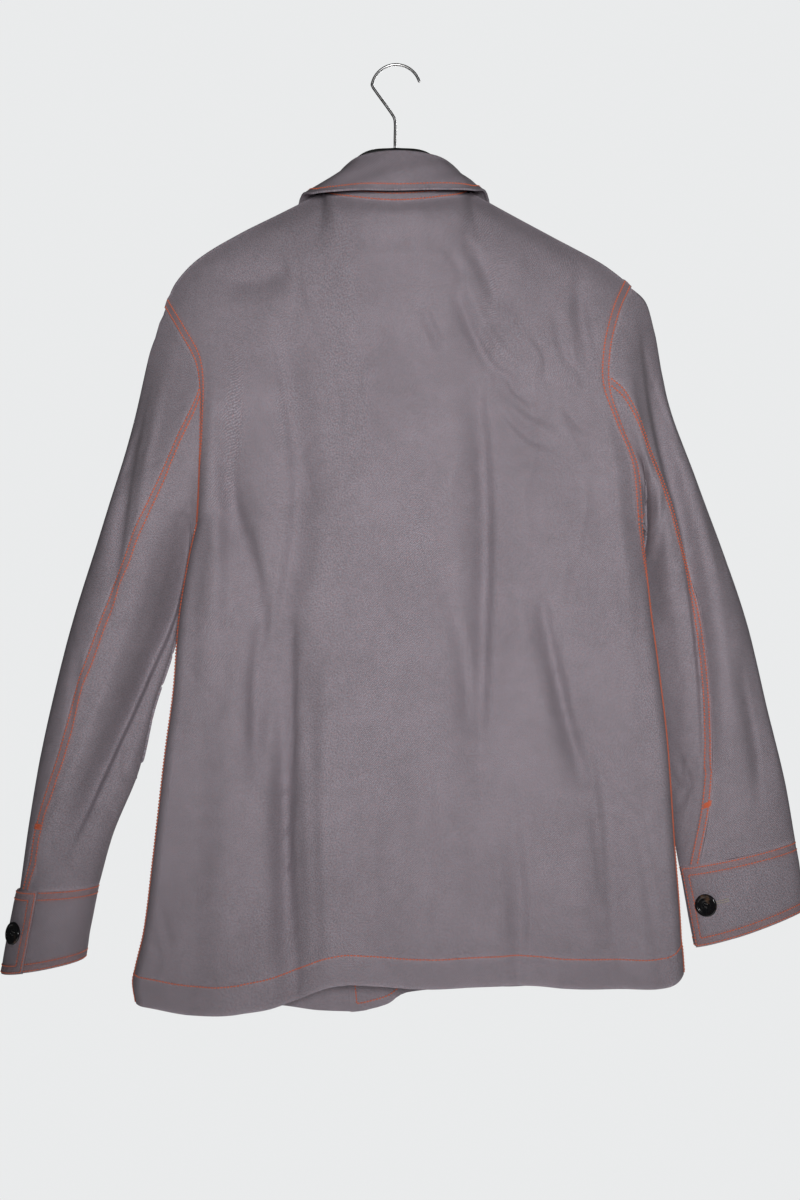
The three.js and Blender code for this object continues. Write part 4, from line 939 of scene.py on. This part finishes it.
def cotton(name, base, warm, dark, bump=0.4):
    """Grey-mauve workwear cotton, with lighter worn edges and a short soft nap."""
    made, words, shader = material(name)
    place = words.make("ShaderNodeUVMap", {"uv_map": "cloth"}).outputs[0]
    worn = words.make("ShaderNodeAttribute", {"attribute_name": "wear"}).outputs["Fac"]
    strip = words.make("ShaderNodeAttribute", {"attribute_name": "strip"}).outputs["Fac"]
    cloth = words.make("ShaderNodeGroup", {"node_tree": weave}, Vector=place, Base=(*base, 1),
                       Warm=(*warm, 1), Dark=(*dark, 1), Wear=worn, Strip=strip)
    words.link(cloth.outputs["Color"], shader.inputs["Base Color"])
    words.link(cloth.outputs["Roughness"], shader.inputs["Roughness"])
    relief = words.make("ShaderNodeBump", Height=cloth.outputs["Height"], Strength=bump, Distance=0.0006)
    words.link(relief.outputs[0], shader.inputs["Normal"])
    shader.inputs["Sheen Weight"].default_value = 0.03
    shader.inputs["Sheen Roughness"].default_value = 0.6
    shader.inputs["Specular IOR Level"].default_value = 0.15
    return made


def sewing(name, colour, dark):
    """Twisted thread: slanting bands of two near colours with a soft relief."""
    made, words, shader = material(name)
    place = words.make("ShaderNodeUVMap", {"uv_map": "cloth"}).outputs[0]
    twist = words.make("ShaderNodeTexWave", {"wave_type": "BANDS", "bands_direction": "DIAGONAL"},
                       Vector=place, Scale=700.0, Distortion=0.5, Detail=1.0).outputs[1]
    fade = words.noise(place, 60.0, 2.0)
    tone = words.blend(words.span(twist, 0.0, 1.0, 0.0, 0.5), (*colour, 1), (*dark, 1))
    tone = words.blend(words.span(fade, 0.35, 0.7, 0.0, 0.45), tone, (*dark, 1))
    words.link(tone, shader.inputs["Base Color"])
    relief = words.make("ShaderNodeBump", Height=twist, Strength=0.4, Distance=0.0002)
    words.link(relief.outputs[0], shader.inputs["Normal"])
    words.link(words.span(fade, 0.3, 0.7, 0.55, 0.75), shader.inputs["Roughness"])
    return made


BASE, WARM, DARK = (0.32, 0.305, 0.345), (0.38, 0.235, 0.245), (0.10, 0.095, 0.115)
cotton_body = cotton("cotton twill", BASE, WARM, DARK)
orange_thread = sewing("orange thread", (0.72, 0.16, 0.07), (0.48, 0.105, 0.05))
light_thread = sewing("light thread", (0.42, 0.37, 0.31), (0.28, 0.25, 0.21))
dark_thread = sewing("dark thread", (0.05, 0.045, 0.045), (0.03, 0.028, 0.028))

# Panels: thickness of the wall, the CAD nodes it stands for, cut width and length, and area
SINGLE, CUFF_LAYERS, POCKET_CLOTH = 2.0, 2.4, 1.6
hem_wear = 0.5 * np.exp(-((back.low - HEM_ROW) / 1.6) ** 2)
pieces = [
    panel("back_panel", back, SINGLE, "back", (0.53, 0.78), 0.377, "left right", wear_at=hem_wear),
    panel("left_front_panel", front_left, SINGLE, "front_left", (0.30, 0.78), 0.184, "left"),
    panel("right_front_panel", front_right, SINGLE, "front_right", (0.33, 0.78), 0.209, "right"),
    panel("collar_panel", collar, SINGLE, "collar_stand collar_fall", (0.47, 0.09), 0.039),
]
CUTS = {
    -1: dict(under=((0.13, 0.57), 0.061), upper=((0.185, 0.62), 0.085), cuff=((0.27, 0.08), 0.0205),
             pocket=((0.145, 0.19), 0.025)),
    1: dict(under=((0.11, 0.57), 0.046), upper=((0.20, 0.62), 0.095), cuff=((0.30, 0.08), 0.0233),
            pocket=((0.17, 0.19), 0.031)),
}
for side, word in ((-1, "left"), (1, "right")):
    lower, upper = sleeves[side]
    cut = CUTS[side]
    pieces += [
        panel(f"{word}_under_sleeve", lower, SINGLE, f"sleeve_under_{word}", *cut["under"], "left right"),
        panel(f"{word}_upper_sleeve", upper, SINGLE, f"sleeve_upper_{word}", *cut["upper"]),
        panel(f"{word}_cuff_band", cuffs[side], CUFF_LAYERS, f"cuff_{word}", *cut["cuff"],
              "low high left right"),
        panel(f"{word}_patch_pocket", pockets[side], POCKET_CLOTH, f"pocket_{word}", *cut["pocket"],
              "low left right"),
    ]
for piece in pieces:
    piece.data.materials.append(cotton_body)

# Stitch rows, as distances from the sewn edges
SLEEVE_ROWS = (2.2, 8.8)
CUFF_ROWS = (1.8, 8.4)
POCKET_ROWS = (1.8, 7.8)
STAND_ROWS = (2.6, 9.0)
FRONT_EDGE_ROW = 7.0
VENT_LENGTH = 62
ARMPIT_STEP = BODY_STEPS * ARMPIT_ROW // BODY_ROWS
body_lines = [part_of(line_at(back, "low", HEM_ROW), trim=1.5)]
for side in ("left", "right"):
    for row in SEAM_ROWS:
        edge = line_at(back, side, row)
        body_lines.append((edge[0][:ARMPIT_STEP + 1], edge[1][:ARMPIT_STEP + 1]))
        body_lines.append(part_of((edge[0][ARMPIT_STEP:], edge[1][ARMPIT_STEP:]), trim=1.0))
thread_mesh("back_stitches", body_lines, orange_thread)

front_lines = []
for cloth, arm, free in ((front_left, "left", "right"), (front_right, "right", "left")):
    front_lines.append(part_of(line_at(cloth, "low", HEM_ROW), trim=1.5))
    front_lines.append(part_of(line_at(cloth, free, FRONT_EDGE_ROW), trim=8.0, trim_end=3.0))
    if cloth is front_right:
        inner = behind(line_at(cloth, free, FRONT_EDGE_ROW), SINGLE)
        front_lines.append(part_of(inner, trim=8.0, trim_end=3.0))
        front_lines.append(part_of(behind(line_at(cloth, "low", 8.0), SINGLE), trim=7.0))
    for row in SEAM_ROWS:
        edge = line_at(cloth, arm, row)
        front_lines.append(part_of((edge[0][ARMPIT_STEP:], edge[1][ARMPIT_STEP:]), trim=1.0))
thread_mesh("front_stitches", front_lines, orange_thread)

for side, word in ((-1, "left"), (1, "right")):
    lower, upper = sleeves[side]
    lines = [part_of(line_at(lower, "left", row), trim=1.0) for row in SLEEVE_ROWS]
    lines += [part_of(line_at(lower, "right", row), trim=1.0) for row in SLEEVE_ROWS]
    thread_mesh(f"{word}_sleeve_stitches", lines, orange_thread)
    cuff = cuffs[side]
    lines = [part_of(line_at(cuff, edge, row), trim=row)
             for edge in ("low", "high", "left", "right") for row in CUFF_ROWS]
    thread_mesh(f"{word}_cuff_stitches", lines, orange_thread, pitch=2.9, long=2.6, thick=1.4)
    j = int(np.argmin(np.abs(lower.low[:, 0] - VENT_LENGTH)))
    seam = lower.points[j, 0] + lower.normals[j, 0] * 0.4
    across = unit(lower.points[j, 6] - lower.points[j, 0])
    along = unit(lower.points[j + 3, 0] - lower.points[j - 3, 0])
    bars = []
    for k in range(-3, 4):
        middle = seam + along * k * 0.8
        bar = np.array([middle - across * 1.5, middle + across * 9])
        bars.append((bar, np.repeat(lower.normals[j, :1], 2, 0)))
    thread_mesh(f"{word}_bartack", bars, orange_thread, pitch=10.0, long=9.6, thick=1.0)
    pocket = pockets[side]
    lines = [part_of(line_at(pocket, edge, row), trim=row)
             for edge in ("low", "left", "right") for row in POCKET_ROWS]
    lines.append(part_of(line_at(pocket, "high", 24.0), trim=1.0))
    thread_mesh(f"{word}_pocket_stitches", lines, orange_thread)
lines = [part_of(behind(line_at(collar, "high", COLLAR_ROW), SINGLE), trim=COLLAR_ROW)]
for end in ("left", "right"):
    edge = behind(line_at(collar, end, COLLAR_ROW), SINGLE)
    lines.append((edge[0][42:], edge[1][42:]))
lines += [part_of(line_at(collar, "low", row), 0.1, 0.9) for row in STAND_ROWS]
thread_mesh("collar_stitches", lines, orange_thread)


# Buttons: radius and height, and the four holes' place, turn and number
BUTTON_RADIUS, BUTTON_HEIGHT = 11.0, 3.4
HOLE_PLACE, HOLE_TURN = 2.15, 0.2


def facing(normal):
    """Two directions in the button's face, sideways and up."""
    side = unit(np.cross(normal, np.array([0.0, 0.0, 1.0])))
    return side, np.cross(side, normal)


def revolve_button(centre, normal):
    """Horn button: a turned height over the radius, with a raised rim, a dished middle and four pits for
    holes."""
    radius, height = BUTTON_RADIUS, BUTTON_HEIGHT
    r = np.concatenate([np.linspace(0, radius - 1.0, 40), radius - 1.0 + np.linspace(0.1, 1.0, 8)])
    a = np.linspace(0, 2 * np.pi, 96, endpoint=False)
    ring = np.interp(r, [0, 3.6, 5.0, radius - 3.6, radius - 2.6, radius - 1.2, radius - 0.4, radius],
                     height - np.array([1.5, 1.45, 1.1, 1.0, 0.2, 0.0, 0.5, 1.6]))
    rr, aa = np.meshgrid(r, a, indexing="ij")
    h = np.repeat(ring[:, None], 96, axis=1)
    for k in range(4):
        t = HOLE_TURN + np.pi / 4 + k * np.pi / 2
        away = np.hypot(rr * np.cos(aa) - HOLE_PLACE * np.cos(t), rr * np.sin(aa) - HOLE_PLACE * np.sin(t))
        h = h - 1.5 * (1 - ramp(away, 0.75, 1.15))
    side, up = facing(normal)

    def turned(away, angle, high):
        """Points at a radius, an angle and a height over the button's back."""
        aim = np.cos(angle)[..., None] * side + np.sin(angle)[..., None] * up
        return centre + away[..., None] * aim + high[..., None] * normal

    front = turned(rr[1:], aa[1:], h[1:]).reshape(-1, 3)
    rim = turned(np.full(96, radius - 1.2), a, np.zeros(96))
    points = np.vstack([front, rim, [centre + (height - 1.5) * normal], [centre]])
    rings = len(r)
    k, i = np.meshgrid(np.arange(rings - 1), np.arange(96), indexing="ij")
    j = (i + 1) % 96
    quads = np.stack([k * 96 + i, k * 96 + j, (k + 1) * 96 + j, (k + 1) * 96 + i], -1).reshape(-1, 4)
    top, low = len(points) - 2, len(points) - 1
    i = np.arange(96)
    j = (i + 1) % 96
    fan = np.stack([np.full(96, top), j, i], -1)
    base = np.stack([np.full(96, low), (rings - 1) * 96 + i, (rings - 1) * 96 + j], -1)
    return points, quads.tolist() + fan.tolist() + base.tolist()


def horn(name):
    """Dark horn with a tan cloud, fine scratches and a satin surface of low roughness."""
    made, words, shader = material(name)
    place = words.make("ShaderNodeTexCoord").outputs["Object"]
    cloud = words.span(words.noise(place, 75.0, 3.0, 0.6), 0.60, 0.74)
    grain = words.noise(words.stretch(place, (900, 200, 200)), 1.0, 3.0, 0.6)
    clouded = words.maths("MULTIPLY", cloud, 0.55)
    tone = words.blend(clouded, (0.004, 0.004, 0.005, 1), (0.20, 0.11, 0.06, 1))
    tone = words.blend(words.span(grain, 0.4, 0.7, 0.0, 0.3), tone, (0.016, 0.014, 0.013, 1))
    words.link(tone, shader.inputs["Base Color"])
    words.link(words.span(grain, 0.3, 0.7, 0.14, 0.26), shader.inputs["Roughness"])
    relief = words.make("ShaderNodeBump", Height=grain, Strength=0.15, Distance=0.0002)
    words.link(relief.outputs[0], shader.inputs["Normal"])
    return made


def carrier(name):
    """The cloth that a button sits on."""
    if name.startswith("button_cuff"):
        return cuffs[-1 if name.endswith("left") else 1]
    return front_left


horn_dark = horn("dark horn")
button_seats = {}
for name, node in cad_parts.items():
    if not name.startswith("button_"):
        continue
    points = np.empty(len(node.data.vertices) * 3)
    node.data.vertices.foreach_get("co", points)
    points = points.reshape(-1, 3) / MM
    low, high = points.min(axis=0), points.max(axis=0)
    centre = (low + high) / 2
    cloth = carrier(name)
    away = np.linalg.norm(cloth.points - centre, axis=2)
    j, i = np.unravel_index(away.argmin(), away.shape)
    normal = cloth.normals[j, i]
    seat = centre + normal * (np.dot(cloth.points[j, i] - centre, normal) + 0.15)
    button_seats[name] = (seat, normal)
    points, faces = revolve_button(seat, normal)
    obj = put_mesh(name + "_horn", points, faces, sharp=1.2)
    obj.data.materials.append(horn_dark)
    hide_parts(name)


# Buttonholes: two dense cords of light thread beside the slit, and a bar across its far end
SLIT_LENGTH = 22


def hole_lines(cloth, seat, step):
    """Cords round a slit that runs along the cloth's row from the button's seat."""
    away = np.linalg.norm(cloth.points[:, :120] - seat, axis=2)
    j, i = np.unravel_index(away.argmin(), away.shape)
    path, out = cloth.points[j, i::step][:60], cloth.normals[j, i::step][:60]
    run = run_of(path)
    at = np.linspace(0, SLIT_LENGTH, SLIT_LENGTH + 1)
    path, out = place_on(path, run, at), unit(place_on(out, run, at))
    up = unit(np.cross(out, np.gradient(path, axis=0)))
    bar = np.stack([path[-1] - 1.8 * up[-1], path[-1] + 1.8 * up[-1]])
    return [(path + up * 1.1, out), (path - up * 1.1, out), (bar, np.repeat(out[-1:], 2, 0))]


holes, button_threads = [], []
for name, (seat, normal) in button_seats.items():
    holes += hole_lines(carrier(name), seat, 1 if name.startswith("button_cuff") else -1)
    side, up = facing(normal)
    turns = HOLE_TURN + np.pi / 4 + np.arange(4) * np.pi / 2
    corners = HOLE_PLACE * (np.cos(turns)[:, None] * side + np.sin(turns)[:, None] * up) + seat + normal * 1.9
    for a, b in ((0, 1), (2, 3)):
        for shift in (-0.25, 0.25):
            ends = np.stack([corners[a], corners[b]]) + shift * unit(corners[a] - corners[3 - a])
            button_threads.append((ends, np.stack([normal, normal])))
thread_mesh("buttonhole_stitches", holes, light_thread, pitch=0.9, long=1.6, thick=1.1)
thread_mesh("button_threads", button_threads, dark_thread, pitch=2.9, long=3.2, thick=0.8)

# One loose thread end beside the right armpit
seam = line_at(back, "right", 9.0)
start, out = seam[0][ARMPIT_STEP + 3], seam[1][ARMPIT_STEP + 3]
curl = smooth_path(start + np.array([
    (0, -0.4, 0), (1.5, -1.2, -2.2), (3.6, -1.6, -3.4), (5.6, -1.4, -2.0), (6.0, -1.2, 0.6)]))
thread_mesh("loose_thread_end", [(curl, np.repeat(out[None], len(curl), 0))], orange_thread,
            pitch=1.5, long=2.0, thick=0.8)


# Hanger and hook
def tube(name, line, across, deep, sides=20, ends=4):
    """Round or oval rod along a line in the plane y = 0, its ends closed by rounding down to a point."""
    p = np.asarray(line, float)
    along = unit(np.gradient(p, axis=0))
    out = np.stack([-along[:, 2], 0 * along[:, 0], along[:, 0]], -1)
    turn = np.linspace(0, np.pi / 2, ends + 1)[:-1]
    reach = np.cos(turn)[:, None] * min(across, deep) * 0.9
    head = p[0] - along[0] * reach
    tail = p[-1] + along[-1] * reach[::-1]
    centres = np.vstack([head, p, tail])
    outs = np.vstack([np.repeat(out[:1], ends, 0), out, np.repeat(out[-1:], ends, 0)])
    closing = np.maximum(np.sin(turn), 0.02)
    size = np.concatenate([closing, np.ones(len(p)), closing[::-1]])
    a = 2 * np.pi * np.arange(sides) / sides
    points = (centres[:, None] + outs[:, None] * (np.cos(a)[None, :] * size[:, None] * across)[..., None]
              + np.array([0, 1, 0]) * (np.sin(a)[None, :] * size[:, None] * deep)[..., None])
    rings = len(centres)
    k, i = np.meshgrid(np.arange(rings - 1), np.arange(sides), indexing="ij")
    j = (i + 1) % sides
    faces = np.stack([k * sides + i, (k + 1) * sides + i, (k + 1) * sides + j, k * sides + j], -1)
    faces = faces.reshape(-1, 4).tolist()
    faces.append(list(range(sides)))
    faces.append([(rings - 1) * sides + q for q in range(sides - 1, -1, -1)])
    return put_mesh(name, points.reshape(-1, 3), faces, sharp=1.2)


def shoulder_at(side, x):
    """Height of the shoulder seam at a distance from the middle."""
    at = np.linspace(0, 1, 200)
    word = "left" if side < 0 else "right"
    return np.interp(x, np.abs(read(SHOULDER, word + "X", at))[::-1], read(SHOULDER, word + "Z", at)[::-1])


arms = []
for side in (-1, 1):
    arm = [(0, -83), (25, -85.5), (39, -96), (44.5, -114.5), (54, -130)]
    arm += [(x, shoulder_at(side, x) - 12) for x in np.arange(72, 191.1, 17.5)]
    arm += [(197, shoulder_at(side, 197) - 13)]
    line = smooth_path([(side * x, 0, z) for x, z in arm], 90)
    arms.append(line[::-1] if side < 0 else line[1:])
hanger = tube("hanger_bar", np.vstack(arms), 4.6, 2.6)
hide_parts("hanger")

angle = np.radians(np.linspace(18, 170, 60))
WIRE_RADIUS, CROOK_RADIUS = 1.35, 23.5
crook = np.stack([
    CROOK_RADIUS * np.cos(angle), 0 * angle, WIRE_RADIUS + CROOK_RADIUS * (np.sin(angle) - 1)], -1)
shank = smooth_path([
    crook[-1], (-21.5, 0, -21.5), (-3, 0, -47.5), (-1, 0, -53), (-1, 0, -72), (-1, 0, -78.1)], 60)
wire = tube("hook_wire", np.vstack([crook, shank[1:]]), WIRE_RADIUS, WIRE_RADIUS, 16)
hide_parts("hanger_hook")

plastic, words, shader = material("black moulded plastic")
place = words.make("ShaderNodeTexCoord").outputs["Object"]
speck = words.noise(place, 900.0, 3.0, 0.6)
smear = words.noise(place, 30.0, 2.0)
tone = words.blend(words.span(smear, 0.3, 0.7), (0.010, 0.010, 0.011, 1), (0.024, 0.023, 0.022, 1))
words.link(tone, shader.inputs["Base Color"])
words.link(words.span(smear, 0.3, 0.7, 0.34, 0.55), shader.inputs["Roughness"])
relief = words.make("ShaderNodeBump", Height=speck, Strength=0.2, Distance=0.0002)
words.link(relief.outputs[0], shader.inputs["Normal"])
hanger.data.materials.append(plastic)

steel, words, shader = material("plated steel wire")
place = words.make("ShaderNodeTexCoord").outputs["Object"]
scratch = words.noise(words.stretch(place, (300, 300, 2200)), 1.0, 3.0, 0.6)
tarnish = words.noise(place, 120.0, 3.0, 0.6)
tone = words.blend(words.span(tarnish, 0.35, 0.7), (0.48, 0.48, 0.49, 1), (0.30, 0.29, 0.28, 1))
words.link(tone, shader.inputs["Base Color"])
words.link(words.span(scratch, 0.3, 0.7, 0.2, 0.4), shader.inputs["Roughness"])
shader.inputs["Metallic"].default_value = 1.0
relief = words.make("ShaderNodeBump", Height=scratch, Strength=0.1, Distance=0.0001)
words.link(relief.outputs[0], shader.inputs["Normal"])
wire.data.materials.append(steel)

# Floor, world and lights, in metres
FLOOR_RADIUS, FLOOR_HEIGHT = 1.5, -1.68
floor_mesh = bpy.data.meshes.new("floor")
angle = np.linspace(0, 2 * np.pi, 64, endpoint=False)
ring = np.stack([FLOOR_RADIUS * np.cos(angle), FLOOR_RADIUS * np.sin(angle), 0 * angle + FLOOR_HEIGHT], -1)
floor_mesh.from_pydata(ring.tolist(), [], [list(range(64))])
floor = bpy.data.objects.new("floor", floor_mesh)
scene.collection.objects.link(floor)
pale, words, shader = material("pale floor")
place = words.make("ShaderNodeTexCoord").outputs["Object"]
tone = words.blend(words.noise(place, 2.0), (0.80, 0.79, 0.77, 1), (0.84, 0.83, 0.81, 1))
words.link(tone, shader.inputs["Base Color"])
shader.inputs["Roughness"].default_value = 0.8
floor_mesh.materials.append(pale)
floor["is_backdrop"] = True

scene.view_settings.view_transform = "Standard"
world = bpy.data.worlds.new("studio")
scene.world = world
world.use_nodes = True
words = Nodes(world.node_tree)
sky = world.node_tree.nodes["Background"]
seen = words.make("ShaderNodeLightPath").outputs["Is Camera Ray"]
sky.inputs["Color"].default_value = (0.82, 0.83, 0.835, 1)
words.link(words.span(seen, 0.0, 1.0, 0.045, 1.0), sky.inputs["Strength"])


def soft_light(name, place, target, size, power):
    """Square area light that looks at a point."""
    light = bpy.data.lights.new(name, "AREA")
    light.shape = "RECTANGLE"
    light.size, light.size_y = size
    light.energy = power
    obj = bpy.data.objects.new(name, light)
    away = Vector(target) - Vector(place)
    obj.location = place
    obj.rotation_euler = away.to_track_quat("-Z", "Y").to_euler()
    obj.visible_camera = False
    scene.collection.objects.link(obj)


key = bpy.data.lights.new("key", "SPOT")
key.energy = 186
key.spot_size = math.radians(40)
key.spot_blend = 1.0
key.shadow_soft_size = 0.16
lamp = bpy.data.objects.new("key", key)
lamp.location = (0.12, -2.3, -0.36)
lamp.rotation_euler = (Vector((0.06, 0, -0.42)) - lamp.location).to_track_quat("-Z", "Y").to_euler()
scene.collection.objects.link(lamp)
soft_light("front", (0.5, 2.6, 0.2), (0, 0, -0.5), (1.4, 1.4), 62)
soft_light("floor light", (0, 0, -1.0), (0, 0, -2.0), (3.0, 3.0), 18)

boxes = {"cad": [list(v) for v in cad_box], "visual": [list(v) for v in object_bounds()]}
